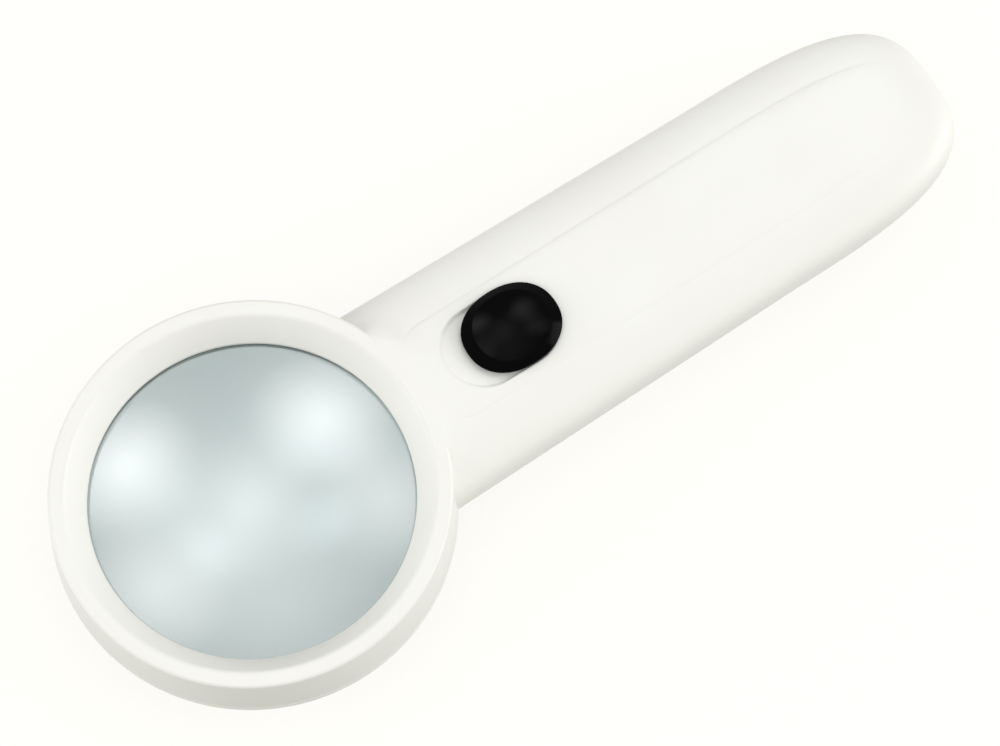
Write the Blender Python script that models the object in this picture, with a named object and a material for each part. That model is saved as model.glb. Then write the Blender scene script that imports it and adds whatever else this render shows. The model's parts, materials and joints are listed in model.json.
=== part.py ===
"""Lit hand lens: a round lens head on a broad battery handle, with a thumb slide and a sliding battery cover.

The pieces are modelled about the lens axis (x = y = 0) with the table at z = 0. They hang from one empty
that puts the middle of the object's footprint at the origin. +X runs along the handle to its tail, +Z is the
switch side and left is +Y. Lengths are in metres.
"""

import math

import bmesh
import bpy
from mathutils import Matrix, Vector

MM = 0.001

# Clearances
SEAM_GAP = 0.15 * MM
FIT_GAP = 0.2 * MM
SLIDE_GAP = 0.25 * MM
OVERCUT = 1.0 * MM
OVERLAP = 0.5 * MM

# Lens and what holds it
LENS_RADIUS = 21.2 * MM
LENS_EDGE = 1.4 * MM
LENS_CURVE_RADIUS = 100.0 * MM
LIP_OVERLAP = 0.7 * MM
LIP_THICKNESS = 0.6 * MM
SEAT_CLEARANCE = 0.35 * MM
BARREL_WALL = 1.65 * MM
RETAINER_WIDTH = 1.0 * MM
RETAINER_HEIGHT = 1.6 * MM
RETAINER_CLEARANCE = 0.3 * MM

# Head
CONE_DEPTH = 3.6 * MM
CONE_SPREAD = 2.5 * MM
RIM_FACE = 2.0 * MM
RIM_FILLET = 0.45 * MM
RING_DRAFT = 0.6 * MM
HOOD_LEDGE = 0.2 * MM
HOOD_FLARE = 1.0 * MM
FOOT_HEIGHT = 1.75 * MM
FOOT_FILLET = 1.0 * MM

# Cells and contacts
CELL_RADIUS = 5.1 * MM
CELL_LENGTH = 44.5 * MM
CELL_CORNER = 0.5 * MM
CELL_GAP = 0.2 * MM
CELL_NUB_RADIUS = 1.9 * MM
CELL_NUB_HEIGHT = 0.9 * MM
CELL_FLOOR_CLEARANCE = 2.55 * MM
CELL_ROOF_CLEARANCE = 0.45 * MM
BAY_SIDE_CLEARANCE = 1.65 * MM
SPRING_LENGTH = 3.0 * MM
SPRING_RADIUS = 3.0 * MM
SPRING_TIP_RADIUS = 2.0 * MM
SPRING_WIRE = 0.35 * MM
SPRING_TURNS = 3
CONTACT_THICKNESS = 0.4 * MM
CONTACT_HALF_WIDTH = 4.2 * MM
CONTACT_HALF_HEIGHT = 3.4 * MM
TAB_HALF_WIDTH = 1.5 * MM
LINK_MARGIN = 3.2 * MM
WIRE_RADIUS = 0.5 * MM
WIRE_REACH = 3.0 * MM
WIRE_SHIFT = 1.6 * MM

# Handle casing
WALL = 1.6 * MM
CROWN_DROP = 0.2 * MM
WAIST_LIFT = 1.4 * MM
HANDLE_TAPER = 0.75 * MM
TAIL_LENGTH = 30.6 * MM
TAIL_SHARE = 0.665
TAIL_EXPONENT = 3.3
TAIL_HEIGHT_EXPONENT = 4.2
TAIL_TIP_FLAT = 0.09 * MM
SECTION_EXPONENT = 3.0
BELLY_EXPONENT = 2.1
BELLY_FLAT = 0.35 * MM
LOFT_FRONT = 10.0 * MM
BULKHEAD_WALL = 1.2 * MM
BULKHEAD_STEP = 0.15 * MM
BULKHEAD_SIDE_GAP = 2.4 * MM
TAIL_RIB_WALL = 1.2 * MM
TAIL_RIB_SIDE_GAP = 3.6 * MM

# Top panel, pocket and thumb slide
PANEL_DEPTH = 0.3 * MM
PANEL_HALF_WIDTH = 6.4 * MM
PANEL_START = 0.6 * MM
PANEL_CORNER = 3.5 * MM
PANEL_TAIL_GAP = 3.3 * MM
PANEL_TAIL_LENGTH = 26.0 * MM
PANEL_TAIL_EXPONENT = 2.2
POCKET_DEPTH = 0.6 * MM
POCKET_FLOOR = 2.0 * MM
POCKET_HALF_WIDTH = 5.4 * MM
POCKET_WALL = 1.2 * MM
POCKET_END_ROOM = 0.7 * MM
KNOB_HALF_LENGTH = 6.5 * MM
KNOB_HALF_WIDTH = 5.5 * MM
KNOB_EXPONENT = 2.2
KNOB_CREST_HALF_LENGTH = 5.0 * MM
KNOB_CREST_HALF_WIDTH = 4.45 * MM
KNOB_LIFT = 0.25 * MM
KNOB_SKIRT = 0.35 * MM
KNOB_SLOPE = 0.8 * MM
KNOB_DOME = 0.6 * MM
KNOB_TRAVEL = 3.5 * MM
STEM_LENGTH = 3.6 * MM
STEM_WIDTH = 3.4 * MM

# Slide switch
FRAME_LENGTH = 9.0 * MM
FRAME_WIDTH = 4.6 * MM
FRAME_HEIGHT = 3.2 * MM
FRAME_SHEET = 0.35 * MM
BASE_HEIGHT = 0.7 * MM
BRIDGE_HEIGHT = 0.25 * MM
BRIDGE_LENGTH = 3.4 * MM
BRIDGE_WIDTH = 2.2 * MM
CARRIAGE_LENGTH = 4.0 * MM
CARRIAGE_WIDTH = 3.2 * MM
POST_LENGTH = 1.8 * MM
POST_WIDTH = 1.6 * MM
TERMINAL_PITCH = 2.5 * MM
TERMINAL_LENGTH = 0.6 * MM
TERMINAL_WIDTH = 0.8 * MM
TERMINAL_TAIL = 0.9 * MM

# Circuit board
BOARD_FRONT_ROOM = 4.3 * MM
BOARD_SWITCH_ROOM = 4.85 * MM
BOARD_REAR_ROOM = 1.45 * MM
BOARD_END_GAP = 0.6 * MM
BOARD_HALF_WIDTH = 6.8 * MM
BOARD_THICKNESS = 1.2 * MM
BOARD_GAP = 0.1 * MM
BOARD_POST_Y = 5.0 * MM
BOARD_POST_RADIUS = 1.7 * MM
RESISTOR_LENGTH = 3.2 * MM
RESISTOR_WIDTH = 1.6 * MM
RESISTOR_HEIGHT = 0.6 * MM
RESISTOR_INSET = 1.6 * MM

# Lamps
LED_RADIUS = 1.5 * MM
LED_LENGTH = 5.3 * MM
LED_FLANGE_RADIUS = 1.9 * MM
LED_FLANGE_HEIGHT = 1.0 * MM
LED_Y = 4.4 * MM
LED_TIP_Z = 3.8 * MM
LED_PROUD = 0.35 * MM
LED_TILT = math.radians(30.0)
LEAD_PITCH = 2.54 * MM
LEAD_RADIUS = 0.25 * MM
LEAD_HOLE_RADIUS = 0.55 * MM
LEAD_INSET = 1.2 * MM
LEAD_PROUD = 0.4 * MM
LEAD_REACH = 3.0 * MM

# Screws
SCREW_RADIUS = 1.0 * MM
SCREW_HEAD_RADIUS = 1.9 * MM
SCREW_HEAD_HEIGHT = 1.3 * MM
SCREW_GRIP = 4.5 * MM
SCREW_LEDGE = 3.0 * MM
SCREW_FACE_RADIUS = 1.15 * MM
SCREW_EDGE = 0.65 * MM
SCREW_SLOT_WIDTH = 0.5 * MM
SCREW_SLOT_DEPTH = 0.6 * MM
BOSS_RADIUS = 2.3 * MM
NECK_SCREW_REACH = 4.0 * MM
NECK_SCREW_Y = 9.4 * MM
BAY_SCREW_Y = 9.4 * MM
BAY_SCREW_GAP = 0.7 * MM
BOARD_SCREW_SCALE = 0.7

# Battery cover
COVER_FRONT_GAP = 0.4 * MM
COVER_EDGE = 1.5 * MM
COVER_TUCK = 0.35 * MM
COVER_SPLIT_LEAD = 3.0 * MM
TONGUE_INSET = 0.6 * MM
TONGUE_PROUD = 0.4 * MM
TONGUE_HEIGHT = 0.6 * MM
TONGUE_FRONT = 2.0 * MM
TONGUE_REAR = 1.0 * MM
GRIP_COUNT = 5
GRIP_PITCH = 2.0 * MM
GRIP_WIDTH = 0.8 * MM
GRIP_DEPTH = 0.35 * MM
GRIP_HALF_LENGTH = 5.0 * MM
GRIP_START = 4.0 * MM

# Facets
RING_STEPS = 60
SECTION_STEPS = 20
TAIL_STEPS = 9
ROUND_STEPS = 16
SMALL_ROUND_STEPS = 10
ARC_STEPS = 4
END_STEPS = 8
LEAD_STEPS = 6
COIL_STEPS = 12
MERGE_DISTANCE = 0.001 * MM
SMOOTH_ANGLE = math.radians(30.0)

# Radii of the head
LIP_RADIUS = LENS_RADIUS - LIP_OVERLAP
SEAT_RADIUS = LENS_RADIUS + SEAT_CLEARANCE
BARREL_RADIUS = SEAT_RADIUS + BARREL_WALL
RIM_INNER_RADIUS = LIP_RADIUS + CONE_SPREAD
RIM_RADIUS = max(RIM_INNER_RADIUS, SEAT_RADIUS) + RIM_FACE
RING_RADIUS = RIM_RADIUS + RING_DRAFT
RETAINER_RADIUS = SEAT_RADIUS - FIT_GAP
HOOD_TOP_RADIUS = RETAINER_RADIUS - HOOD_LEDGE - FIT_GAP
HOOD_FOOT_RADIUS = HOOD_TOP_RADIUS + HOOD_FLARE

# Heights, from the table up
CELL_Z = WALL + CELL_FLOOR_CLEARANCE + CELL_RADIUS
WAIST_Z = CELL_Z + WAIST_LIFT
CROWN_Z = CELL_Z + CELL_RADIUS + CELL_ROOF_CLEARANCE + WALL
RIM_Z = CROWN_Z + CROWN_DROP
LENS_STACK = LIP_THICKNESS + FIT_GAP + LENS_EDGE + FIT_GAP + RETAINER_HEIGHT + RETAINER_CLEARANCE
PARTING_Z = RIM_Z - CONE_DEPTH - LENS_STACK
SEAM_Z = PARTING_Z - SEAM_GAP
FOOT_Z = SEAM_Z - FOOT_HEIGHT
SCREW_FLOOR_Z = SEAM_Z - SCREW_LEDGE
LIP_TOP_Z = RIM_Z - CONE_DEPTH
LIP_BOTTOM_Z = LIP_TOP_Z - LIP_THICKNESS
LENS_TOP_Z = LIP_BOTTOM_Z - FIT_GAP
LENS_BOTTOM_Z = LENS_TOP_Z - LENS_EDGE
RETAINER_TOP_Z = LENS_BOTTOM_Z - FIT_GAP
PANEL_Z = CROWN_Z - PANEL_DEPTH
POCKET_Z = PANEL_Z - POCKET_DEPTH
POCKET_UNDER_Z = POCKET_Z - POCKET_FLOOR
FRAME_TOP_Z = POCKET_UNDER_Z - FIT_GAP
FRAME_BOTTOM_Z = FRAME_TOP_Z - FRAME_HEIGHT
BOARD_TOP_Z = FRAME_BOTTOM_Z - BOARD_GAP
BOARD_BOTTOM_Z = BOARD_TOP_Z - BOARD_THICKNESS
KNOB_BOTTOM_Z = PANEL_Z + KNOB_LIFT
HANDLE_RISE = CROWN_Z - WAIST_Z
BELLY_DEPTH = WAIST_Z + BELLY_FLAT

# Widths of the handle
CELL_Y = CELL_RADIUS + CELL_GAP / 2
REAR_HALF_WIDTH = CELL_Y + CELL_RADIUS + BAY_SIDE_CLEARANCE + WALL
BAY_HALF_WIDTH = REAR_HALF_WIDTH - WALL
COVER_HALF_WIDTH = CELL_Y + CELL_RADIUS - COVER_TUCK

# Places along the handle, from the lens axis
BOARD_FRONT_X = BARREL_RADIUS + BOARD_FRONT_ROOM
SWITCH_X = BOARD_FRONT_X + BOARD_SWITCH_ROOM + FRAME_LENGTH / 2
KNOB_X = SWITCH_X + KNOB_TRAVEL / 2
BOARD_REAR_X = SWITCH_X + FRAME_LENGTH / 2 + BOARD_REAR_ROOM
BULKHEAD_X = BOARD_REAR_X + BOARD_END_GAP
CONTACT_X = BULKHEAD_X + BULKHEAD_WALL + FIT_GAP
CONTACT_REAR_X = CONTACT_X + CONTACT_THICKNESS
LINK_X = CONTACT_REAR_X + FIT_GAP + CELL_LENGTH + FIT_GAP + SPRING_LENGTH + FIT_GAP
TAIL_RIB_X = LINK_X + CONTACT_THICKNESS + FIT_GAP
TAIL_START_X = LINK_X - TAIL_SHARE * TAIL_LENGTH
HANDLE_REACH = TAIL_START_X + TAIL_LENGTH
COVER_X = CONTACT_REAR_X + COVER_FRONT_GAP
COVER_SPLIT_X = TAIL_START_X + COVER_SPLIT_LEAD
BAY_SCREW_X = BULKHEAD_X - BAY_SCREW_GAP - BOSS_RADIUS
NECK_SCREW_X = BARREL_RADIUS + NECK_SCREW_REACH
FOOTPRINT_MIDDLE_X = (HANDLE_REACH - RING_RADIUS) / 2

LEFT_AND_RIGHT = (("left", 1), ("right", -1))


# Modelling helpers


def clear_scene():
    """Removes every object that is already in the file."""
    for old in list(bpy.data.objects):
        bpy.data.objects.remove(old, do_unlink=True)


def add_object(name, data):
    """Links a new object for a mesh or a curve."""
    body = bpy.data.objects.new(name, data)
    bpy.context.scene.collection.objects.link(body)
    return body


def solid(name, bm):
    """Turns a bmesh into a closed object of triangles with its faces pointing out."""
    bmesh.ops.remove_doubles(bm, verts=bm.verts, dist=MERGE_DISTANCE)
    bmesh.ops.triangulate(bm, faces=bm.faces)
    bmesh.ops.recalc_face_normals(bm, faces=bm.faces)
    mesh = bpy.data.meshes.new(name)
    bm.to_mesh(mesh)
    bm.free()
    return add_object(name, mesh)


def block(name, low, high):
    """A box between two corners."""
    size = Vector(high) - Vector(low)
    middle = (Vector(high) + Vector(low)) / 2
    bm = bmesh.new()
    bmesh.ops.create_cube(bm, size=1.0, matrix=Matrix.Translation(middle) @ Matrix.Diagonal(size.to_4d()))
    return solid(name, bm)


def rod(name, radius, start, end, steps=ROUND_STEPS):
    """A round bar between two points."""
    start = Vector(start)
    end = Vector(end)
    turn = (end - start).to_track_quat("Z", "Y").to_matrix().to_4x4()
    place = Matrix.Translation((start + end) / 2) @ turn
    bm = bmesh.new()
    bmesh.ops.create_cone(
        bm,
        cap_ends=True,
        segments=steps,
        radius1=radius,
        radius2=radius,
        depth=(end - start).length,
        matrix=place,
    )
    return solid(name, bm)


def spun(name, profile, steps):
    """A turned solid about the Z axis. A profile that starts and ends on the axis stays open there."""
    bm = bmesh.new()
    verts = [bm.verts.new((radius, 0.0, height)) for radius, height in profile]
    pairs = list(zip(verts, verts[1:]))
    on_axis = profile[0][0] == 0.0 and profile[-1][0] == 0.0
    if not on_axis:
        pairs.append((verts[-1], verts[0]))
    edges = [bm.edges.new(pair) for pair in pairs]
    bmesh.ops.spin(
        bm,
        geom=verts + edges,
        cent=(0.0, 0.0, 0.0),
        axis=(0.0, 0.0, 1.0),
        angle=2 * math.pi,
        steps=steps,
        use_merge=True,
    )
    return solid(name, bm)


def loft(name, rings):
    """A closed skin through rings that have the same number of points."""
    bm = bmesh.new()
    rows = [[bm.verts.new(point) for point in ring] for ring in rings]
    for row, following in zip(rows, rows[1:]):
        for index in range(len(row)):
            after = (index + 1) % len(row)
            bm.faces.new((row[index], row[after], following[after], following[index]))
    bm.faces.new(reversed(rows[0]))
    bm.faces.new(rows[-1])
    return solid(name, bm)


def prism(name, outline, low, high):
    """An outline in the XY plane raised from one height to another."""
    return loft(name, [[(x, y, z) for x, y in outline] for z in (low, high)])


def tube(name, points, radius):
    """A round wire through the points, with flat ends."""
    curve = bpy.data.curves.new(name, "CURVE")
    curve.dimensions = "3D"
    curve.bevel_depth = radius
    curve.bevel_resolution = 2
    curve.use_fill_caps = True
    spline = curve.splines.new("POLY")
    spline.points.add(len(points) - 1)
    for spot, point in zip(spline.points, points):
        spot.co = (*point, 1.0)
    return add_object(name, curve)


def combine(target, tool, operation):
    """Applies one exact boolean to the target and drops the tool."""
    modifier = target.modifiers.new(operation, "BOOLEAN")
    modifier.operation = operation
    modifier.solver = "EXACT"
    modifier.object = tool
    graph = bpy.context.evaluated_depsgraph_get()
    graph.update()
    result = bpy.data.meshes.new_from_object(target.evaluated_get(graph))
    target.modifiers.clear()
    target.data = result
    bpy.data.objects.remove(tool, do_unlink=True)


def cut(target, *tools):
    """Takes each tool's shape out of the target."""
    for tool in tools:
        combine(target, tool, "DIFFERENCE")


def join(target, *tools):
    """Makes the tools part of the target."""
    for tool in tools:
        combine(target, tool, "UNION")


def keep_common(target, tool):
    """Leaves only what the target shares with the tool."""
    combine(target, tool, "INTERSECT")


def arc(centre, radius, start, end, steps=ARC_STEPS):
    """Points of a circular arc, both ends included. Angles are in degrees."""
    points = []
    for index in range(steps + 1):
        angle = math.radians(start + (end - start) * index / steps)
        points.append((centre[0] + radius * math.cos(angle), centre[1] + radius * math.sin(angle)))
    return points


def bezier(start, start_handle, end_handle, end, steps):
    """Points of one cubic Bezier stretch."""
    points = []
    for index in range(steps + 1):
        t = index / steps
        u = 1.0 - t
        point = (
            u**3 * Vector(start)
            + 3 * u * u * t * Vector(start_handle)
            + 3 * u * t * t * Vector(end_handle)
            + t**3 * Vector(end)
        )
        points.append(point)
    return points


def obround(front, rear, half_width):
    """Outline of a slot whose round ends are centred at two x positions."""
    nose = arc((front, 0.0), half_width, 90.0, 270.0, END_STEPS)
    return nose + arc((rear, 0.0), half_width, -90.0, 90.0, END_STEPS)


def power(value, exponent):
    """A signed power, for superellipses."""
    return math.copysign(abs(value) ** exponent, value)


def material(name, colour, roughness, metallic=0.0):
    """One plain Principled material."""
    made = bpy.data.materials.new(name)
    made.use_nodes = True
    shader = made.node_tree.nodes["Principled BSDF"]
    shader.inputs["Base Color"].default_value = (*colour, 1.0)
    shader.inputs["Roughness"].default_value = roughness
    shader.inputs["Metallic"].default_value = metallic
    return made


def finish(body, look):
    """Gives a piece its material and smooth shading."""
    body.data.materials.clear()
    body.data.materials.append(look)
    if body.type == "MESH":
        body.data.shade_smooth()
        body.data.set_sharp_from_angle(angle=SMOOTH_ANGLE)
    return body


def set_origin(body, point):
    """Moves a piece's origin to a point without moving the piece."""
    body.data.transform(Matrix.Translation(-Vector(point)))
    body.location = point


# Shape of the handle


def tail_scale(x, inset, exponent):
    """How far the section has shrunk at x, on a skin that lies inset inside the casing's round tail."""
    length = TAIL_LENGTH - inset
    reach = (x - TAIL_START_X) / length
    if reach <= 0.0:
        return 1.0
    return (1.0 - min(reach, 1.0 - TAIL_TIP_FLAT / length) ** exponent) ** (1.0 / exponent)


def half_width(x, inset):
    """Half width of the handle at x."""
    taper = HANDLE_TAPER * max(0.0, TAIL_START_X - x) / (TAIL_START_X - RIM_RADIUS)
    return (REAR_HALF_WIDTH + taper - inset) * tail_scale(x, inset, TAIL_EXPONENT)


def stations(inset):
    """Section places along the handle, closer together round the tail."""
    places = [LOFT_FRONT, RIM_RADIUS, TAIL_START_X]
    for index in range(1, TAIL_STEPS + 1):
        share = math.sin(math.pi / 2 * index / TAIL_STEPS)
        places.append(TAIL_START_X + (TAIL_LENGTH - inset) * share)
    return places


def section(x, inset):
    """Ring of points round the handle at x: a superellipse above the waist and an ellipse below it."""
    width = half_width(x, inset)
    shrink = tail_scale(x, inset, TAIL_HEIGHT_EXPONENT)
    points = []
    for index in range(2 * SECTION_STEPS):
        angle = math.pi * index / SECTION_STEPS
        upper = index <= SECTION_STEPS
        exponent = SECTION_EXPONENT if upper else BELLY_EXPONENT
        height = HANDLE_RISE if upper else BELLY_DEPTH
        across = width * power(math.cos(angle), 2.0 / exponent)
        up = (height - inset) * shrink * power(math.sin(angle), 2.0 / exponent)
        points.append((x, across, WAIST_Z + up))
    return points


def handle_loft(name, inset):
    """The whole handle as one solid, inset from its skin."""
    return loft(name, [section(x, inset) for x in stations(inset)])


def everything_between(name, low, high):
    """A slab larger than the whole object, between two heights."""
    wide = 2 * RING_RADIUS
    return block(name, (-wide, -wide, low), (HANDLE_REACH + wide, wide, high))


def belly_height(x, y):
    """Height of the belly's skin above the table at a point."""
    share = min(1.0, abs(y) / half_width(x, 0.0))
    depth = BELLY_DEPTH * (1.0 - share**BELLY_EXPONENT) ** (1.0 / BELLY_EXPONENT)
    return max(0.0, WAIST_Z - depth)


COVER_TOP_Z = belly_height(TAIL_START_X, COVER_HALF_WIDTH) + COVER_EDGE


def case_screw_spots():
    """Names and places of the four case screws."""
    spots = []
    for side, sign in LEFT_AND_RIGHT:
        spots.append((f"case_screw_neck_{side}", NECK_SCREW_X, sign * NECK_SCREW_Y))
        spots.append((f"case_screw_bay_{side}", BAY_SCREW_X, sign * BAY_SCREW_Y))
    return spots


# Casing


def rim_blank():
    """The head above the parting plane, before the lens seat is cut."""
    edge = arc((RIM_RADIUS - RIM_FILLET, RIM_Z - RIM_FILLET), RIM_FILLET, 0.0, 90.0)
    low = PARTING_Z - OVERCUT
    wall = [(0.0, low), (RING_RADIUS, low), (RING_RADIUS, PARTING_Z)]
    return spun("rim", wall + edge + [(0.0, RIM_Z)], RING_STEPS)


def lens_seat():
    """Cutter for the cone, the lip and the bore that takes the lens from below."""
    slope = CONE_SPREAD / CONE_DEPTH
    round_over = RIM_FILLET * slope
    profile = [
        (0.0, PARTING_Z - 2 * OVERCUT),
        (SEAT_RADIUS, PARTING_Z - 2 * OVERCUT),
        (SEAT_RADIUS, LIP_BOTTOM_Z),
        (LIP_RADIUS, LIP_BOTTOM_Z),
        (LIP_RADIUS, LIP_TOP_Z),
        (RIM_INNER_RADIUS - round_over, RIM_Z - RIM_FILLET),
        (RIM_INNER_RADIUS + RIM_FILLET / 3, RIM_Z - RIM_FILLET / 4),
        (RIM_INNER_RADIUS + RIM_FILLET, RIM_Z),
        (RIM_INNER_RADIUS + RIM_FILLET, RIM_Z + OVERCUT),
        (0.0, RIM_Z + OVERCUT),
    ]
    return spun("lens_seat", profile, RING_STEPS)


def panel_outline():
    """Outline of the sunk panel: round front corners and a long round tail."""
    front = RIM_RADIUS + PANEL_START
    corner = (front + PANEL_CORNER, PANEL_HALF_WIDTH - PANEL_CORNER)
    tail_start = HANDLE_REACH - PANEL_TAIL_GAP - PANEL_TAIL_LENGTH
    points = arc((corner[0], -corner[1]), PANEL_CORNER, 270.0, 180.0)
    points += arc(corner, PANEL_CORNER, 180.0, 90.0)
    power_of = 2.0 / PANEL_TAIL_EXPONENT
    for index in range(2 * END_STEPS + 1):
        angle = math.pi / 2 - math.pi * index / (2 * END_STEPS)
        along = PANEL_TAIL_LENGTH * abs(math.cos(angle)) ** power_of
        across = PANEL_HALF_WIDTH * power(math.sin(angle), power_of)
        points.append((tail_start + along, across))
    points.reverse()
    return points


def panel_cutter():
    """The thin layer that is sunk inside the panel's outline."""
    layer = prism("panel", panel_outline(), PARTING_Z, RIM_Z + OVERCUT)
    cut(layer, handle_loft("panel_floor", PANEL_DEPTH))
    return layer


def pocket_ends():
    """Centres of the pocket's round ends, under the thumb slide at both ends of its travel."""
    front = KNOB_X - KNOB_TRAVEL - POCKET_END_ROOM
    return front, KNOB_X + POCKET_END_ROOM


def upper_cavity():
    """Hollow of the upper half, less the bosses, the pocket's floor, the lens barrel and the tail rib."""
    hollow = handle_loft("upper_cavity", WALL)
    cut(hollow, rod("barrel", BARREL_RADIUS, (0, 0, 0), (0, 0, RIM_Z + OVERCUT), RING_STEPS))
    for name, x, y in case_screw_spots():
        cut(hollow, rod(name, BOSS_RADIUS, (x, y, 0), (x, y, RIM_Z)))
    for side, sign in LEFT_AND_RIGHT:
        y = sign * BOARD_POST_Y
        low = BOARD_TOP_Z + BOARD_GAP
        cut(hollow, rod(f"board_post_{side}", BOARD_POST_RADIUS, (SWITCH_X, y, low), (SWITCH_X, y, RIM_Z)))
    front, rear = pocket_ends()
    outline = obround(front, rear, POCKET_HALF_WIDTH + POCKET_WALL)
    cut(hollow, prism("pocket_floor", outline, POCKET_UNDER_Z, RIM_Z))
    rib_half_width = BAY_HALF_WIDTH - TAIL_RIB_SIDE_GAP
    low = (TAIL_RIB_X, -rib_half_width, 0.0)
    cut(hollow, block("tail_rib", low, (TAIL_RIB_X + TAIL_RIB_WALL, rib_half_width, RIM_Z)))
    return hollow


def tail_rib_foot():
    """The part of the tail rib that reaches down past the parting plane, behind the link plate."""
    half = BAY_HALF_WIDTH - TAIL_RIB_SIDE_GAP
    low = (TAIL_RIB_X, -half, CELL_Z - LINK_MARGIN - FIT_GAP)
    return block("tail_rib_foot", low, (TAIL_RIB_X + TAIL_RIB_WALL, half, PARTING_Z + OVERLAP))


def make_top_shell(look):
    """Upper casing: rim, cone and lip of the head, and the handle's upper half."""
    shell = handle_loft("top_shell", 0.0)
    join(shell, rim_blank())
    cut(shell, everything_between("below", -OVERCUT, PARTING_Z))
    cut(shell, lens_seat(), upper_cavity(), panel_cutter())
    join(shell, tail_rib_foot())
    front, rear = pocket_ends()
    cut(shell, prism("pocket", obround(front, rear, POCKET_HALF_WIDTH), POCKET_Z, RIM_Z + OVERCUT))
    slot_length = STEM_LENGTH / 2 + KNOB_TRAVEL / 2 + SLIDE_GAP
    slot_width = STEM_WIDTH / 2 + SLIDE_GAP
    low = (SWITCH_X - slot_length, -slot_width, POCKET_UNDER_Z - OVERCUT)
    cut(shell, block("slot", low, (SWITCH_X + slot_length, slot_width, RIM_Z)))
    pilot = SCREW_RADIUS + FIT_GAP
    for name, x, y in case_screw_spots():
        top = SEAM_Z + SCREW_GRIP + FIT_GAP
        cut(shell, rod(name, pilot, (x, y, 0), (x, y, top), SMALL_ROUND_STEPS))
    for side, sign in LEFT_AND_RIGHT:
        y = sign * BOARD_POST_Y
        top = BOARD_BOTTOM_Z - BOARD_GAP + board_screw_reach() + FIT_GAP
        hole = pilot * BOARD_SCREW_SCALE + FIT_GAP / 2
        cut(shell, rod(f"board_pilot_{side}", hole, (SWITCH_X, y, 0), (SWITCH_X, y, top), SMALL_ROUND_STEPS))
    return finish(shell, look)


def hood_radius(height):
    """Inner radius of the head's hood below the lens."""
    return HOOD_FOOT_RADIUS - HOOD_FLARE * height / SEAM_Z


def foot_blank():
    """The head below the seam, before its hood is cut. It stands clear of the table."""
    edge = arc((RING_RADIUS - FOOT_FILLET, FOOT_Z + FOOT_FILLET), FOOT_FILLET, -90.0, 0.0)
    high = SEAM_Z + OVERCUT
    return spun("foot", [(0.0, FOOT_Z)] + edge + [(RING_RADIUS, high), (0.0, high)], RING_STEPS)


def hood_cutter():
    """Opening of the hood below the lens, slightly wider at the foot and turned half a facet."""
    profile = [
        (0.0, -2 * OVERCUT),
        (hood_radius(-2 * OVERCUT), -2 * OVERCUT),
        (hood_radius(SEAM_Z + 2 * OVERCUT), SEAM_Z + 2 * OVERCUT),
        (0.0, SEAM_Z + 2 * OVERCUT),
    ]
    cutter = spun("hood", profile, RING_STEPS)
    cutter.data.transform(Matrix.Rotation(math.pi / RING_STEPS, 4, "Z"))
    return cutter


def lower_cavity():
    """Hollow of the lower half, less the screw columns, the head's wall and the bulkhead."""
    hollow = handle_loft("lower_cavity", WALL)
    cut(hollow, rod("barrel", BARREL_RADIUS, (0, 0, -OVERCUT), (0, 0, RIM_Z), RING_STEPS))
    for name, x, y in case_screw_spots():
        cut(hollow, rod(name, BOSS_RADIUS + WALL / 2, (x, y, -OVERCUT), (x, y, SEAM_Z + 2 * OVERCUT)))
    wide = 2 * REAR_HALF_WIDTH
    low = (BULKHEAD_X, -wide, -OVERCUT)
    cut(hollow, block("bulkhead", low, (BULKHEAD_X + BULKHEAD_WALL, wide, SEAM_Z + 2 * OVERCUT)))
    return hollow


def tab_height():
    """Height of the contacts' solder tabs, over the top of the bulkhead."""
    return CELL_Z + CONTACT_HALF_HEIGHT


def bulkhead_head():
    """The part of the bulkhead that stands up into the upper casing, under the solder tabs."""
    half = BAY_HALF_WIDTH - BULKHEAD_SIDE_GAP
    low = (BULKHEAD_X + BULKHEAD_STEP, -half, SEAM_Z - OVERLAP)
    rear = BULKHEAD_X + BULKHEAD_WALL - BULKHEAD_STEP
    return block("bulkhead_head", low, (rear, half, tab_height() - FIT_GAP))


def cover_region(name, gap):
    """The belly and the whole tail of the lower half, drawn in by gap."""
    far = HANDLE_REACH + OVERCUT
    half = COVER_HALF_WIDTH - gap
    region = block(name, (COVER_X + gap, -half, -OVERCUT), (far, half, COVER_TOP_Z - gap))
    wide = 2 * REAR_HALF_WIDTH
    join(region, block("tail", (COVER_SPLIT_X + gap, -wide, -OVERCUT), (far, wide, SEAM_Z + OVERCUT)))
    return region


def led_axis():
    """Unit vector from a lamp's tip back along its body."""
    return Vector((math.cos(LED_TILT), 0.0, math.sin(LED_TILT)))


def led_tip(sign):
    """Place of a lamp's tip, just proud of the hood's wall."""
    wall_x = math.sqrt(hood_radius(LED_TIP_Z) ** 2 - LED_Y**2)
    return Vector((wall_x - LED_PROUD, sign * LED_Y, LED_TIP_Z))


def trim_to_lower_half(body):
    """Cuts a lower piece flat at the seam and at the table."""
    cut(body, everything_between("above", SEAM_Z, RIM_Z), everything_between("below", -2 * BELLY_DEPTH, 0.0))


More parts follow.
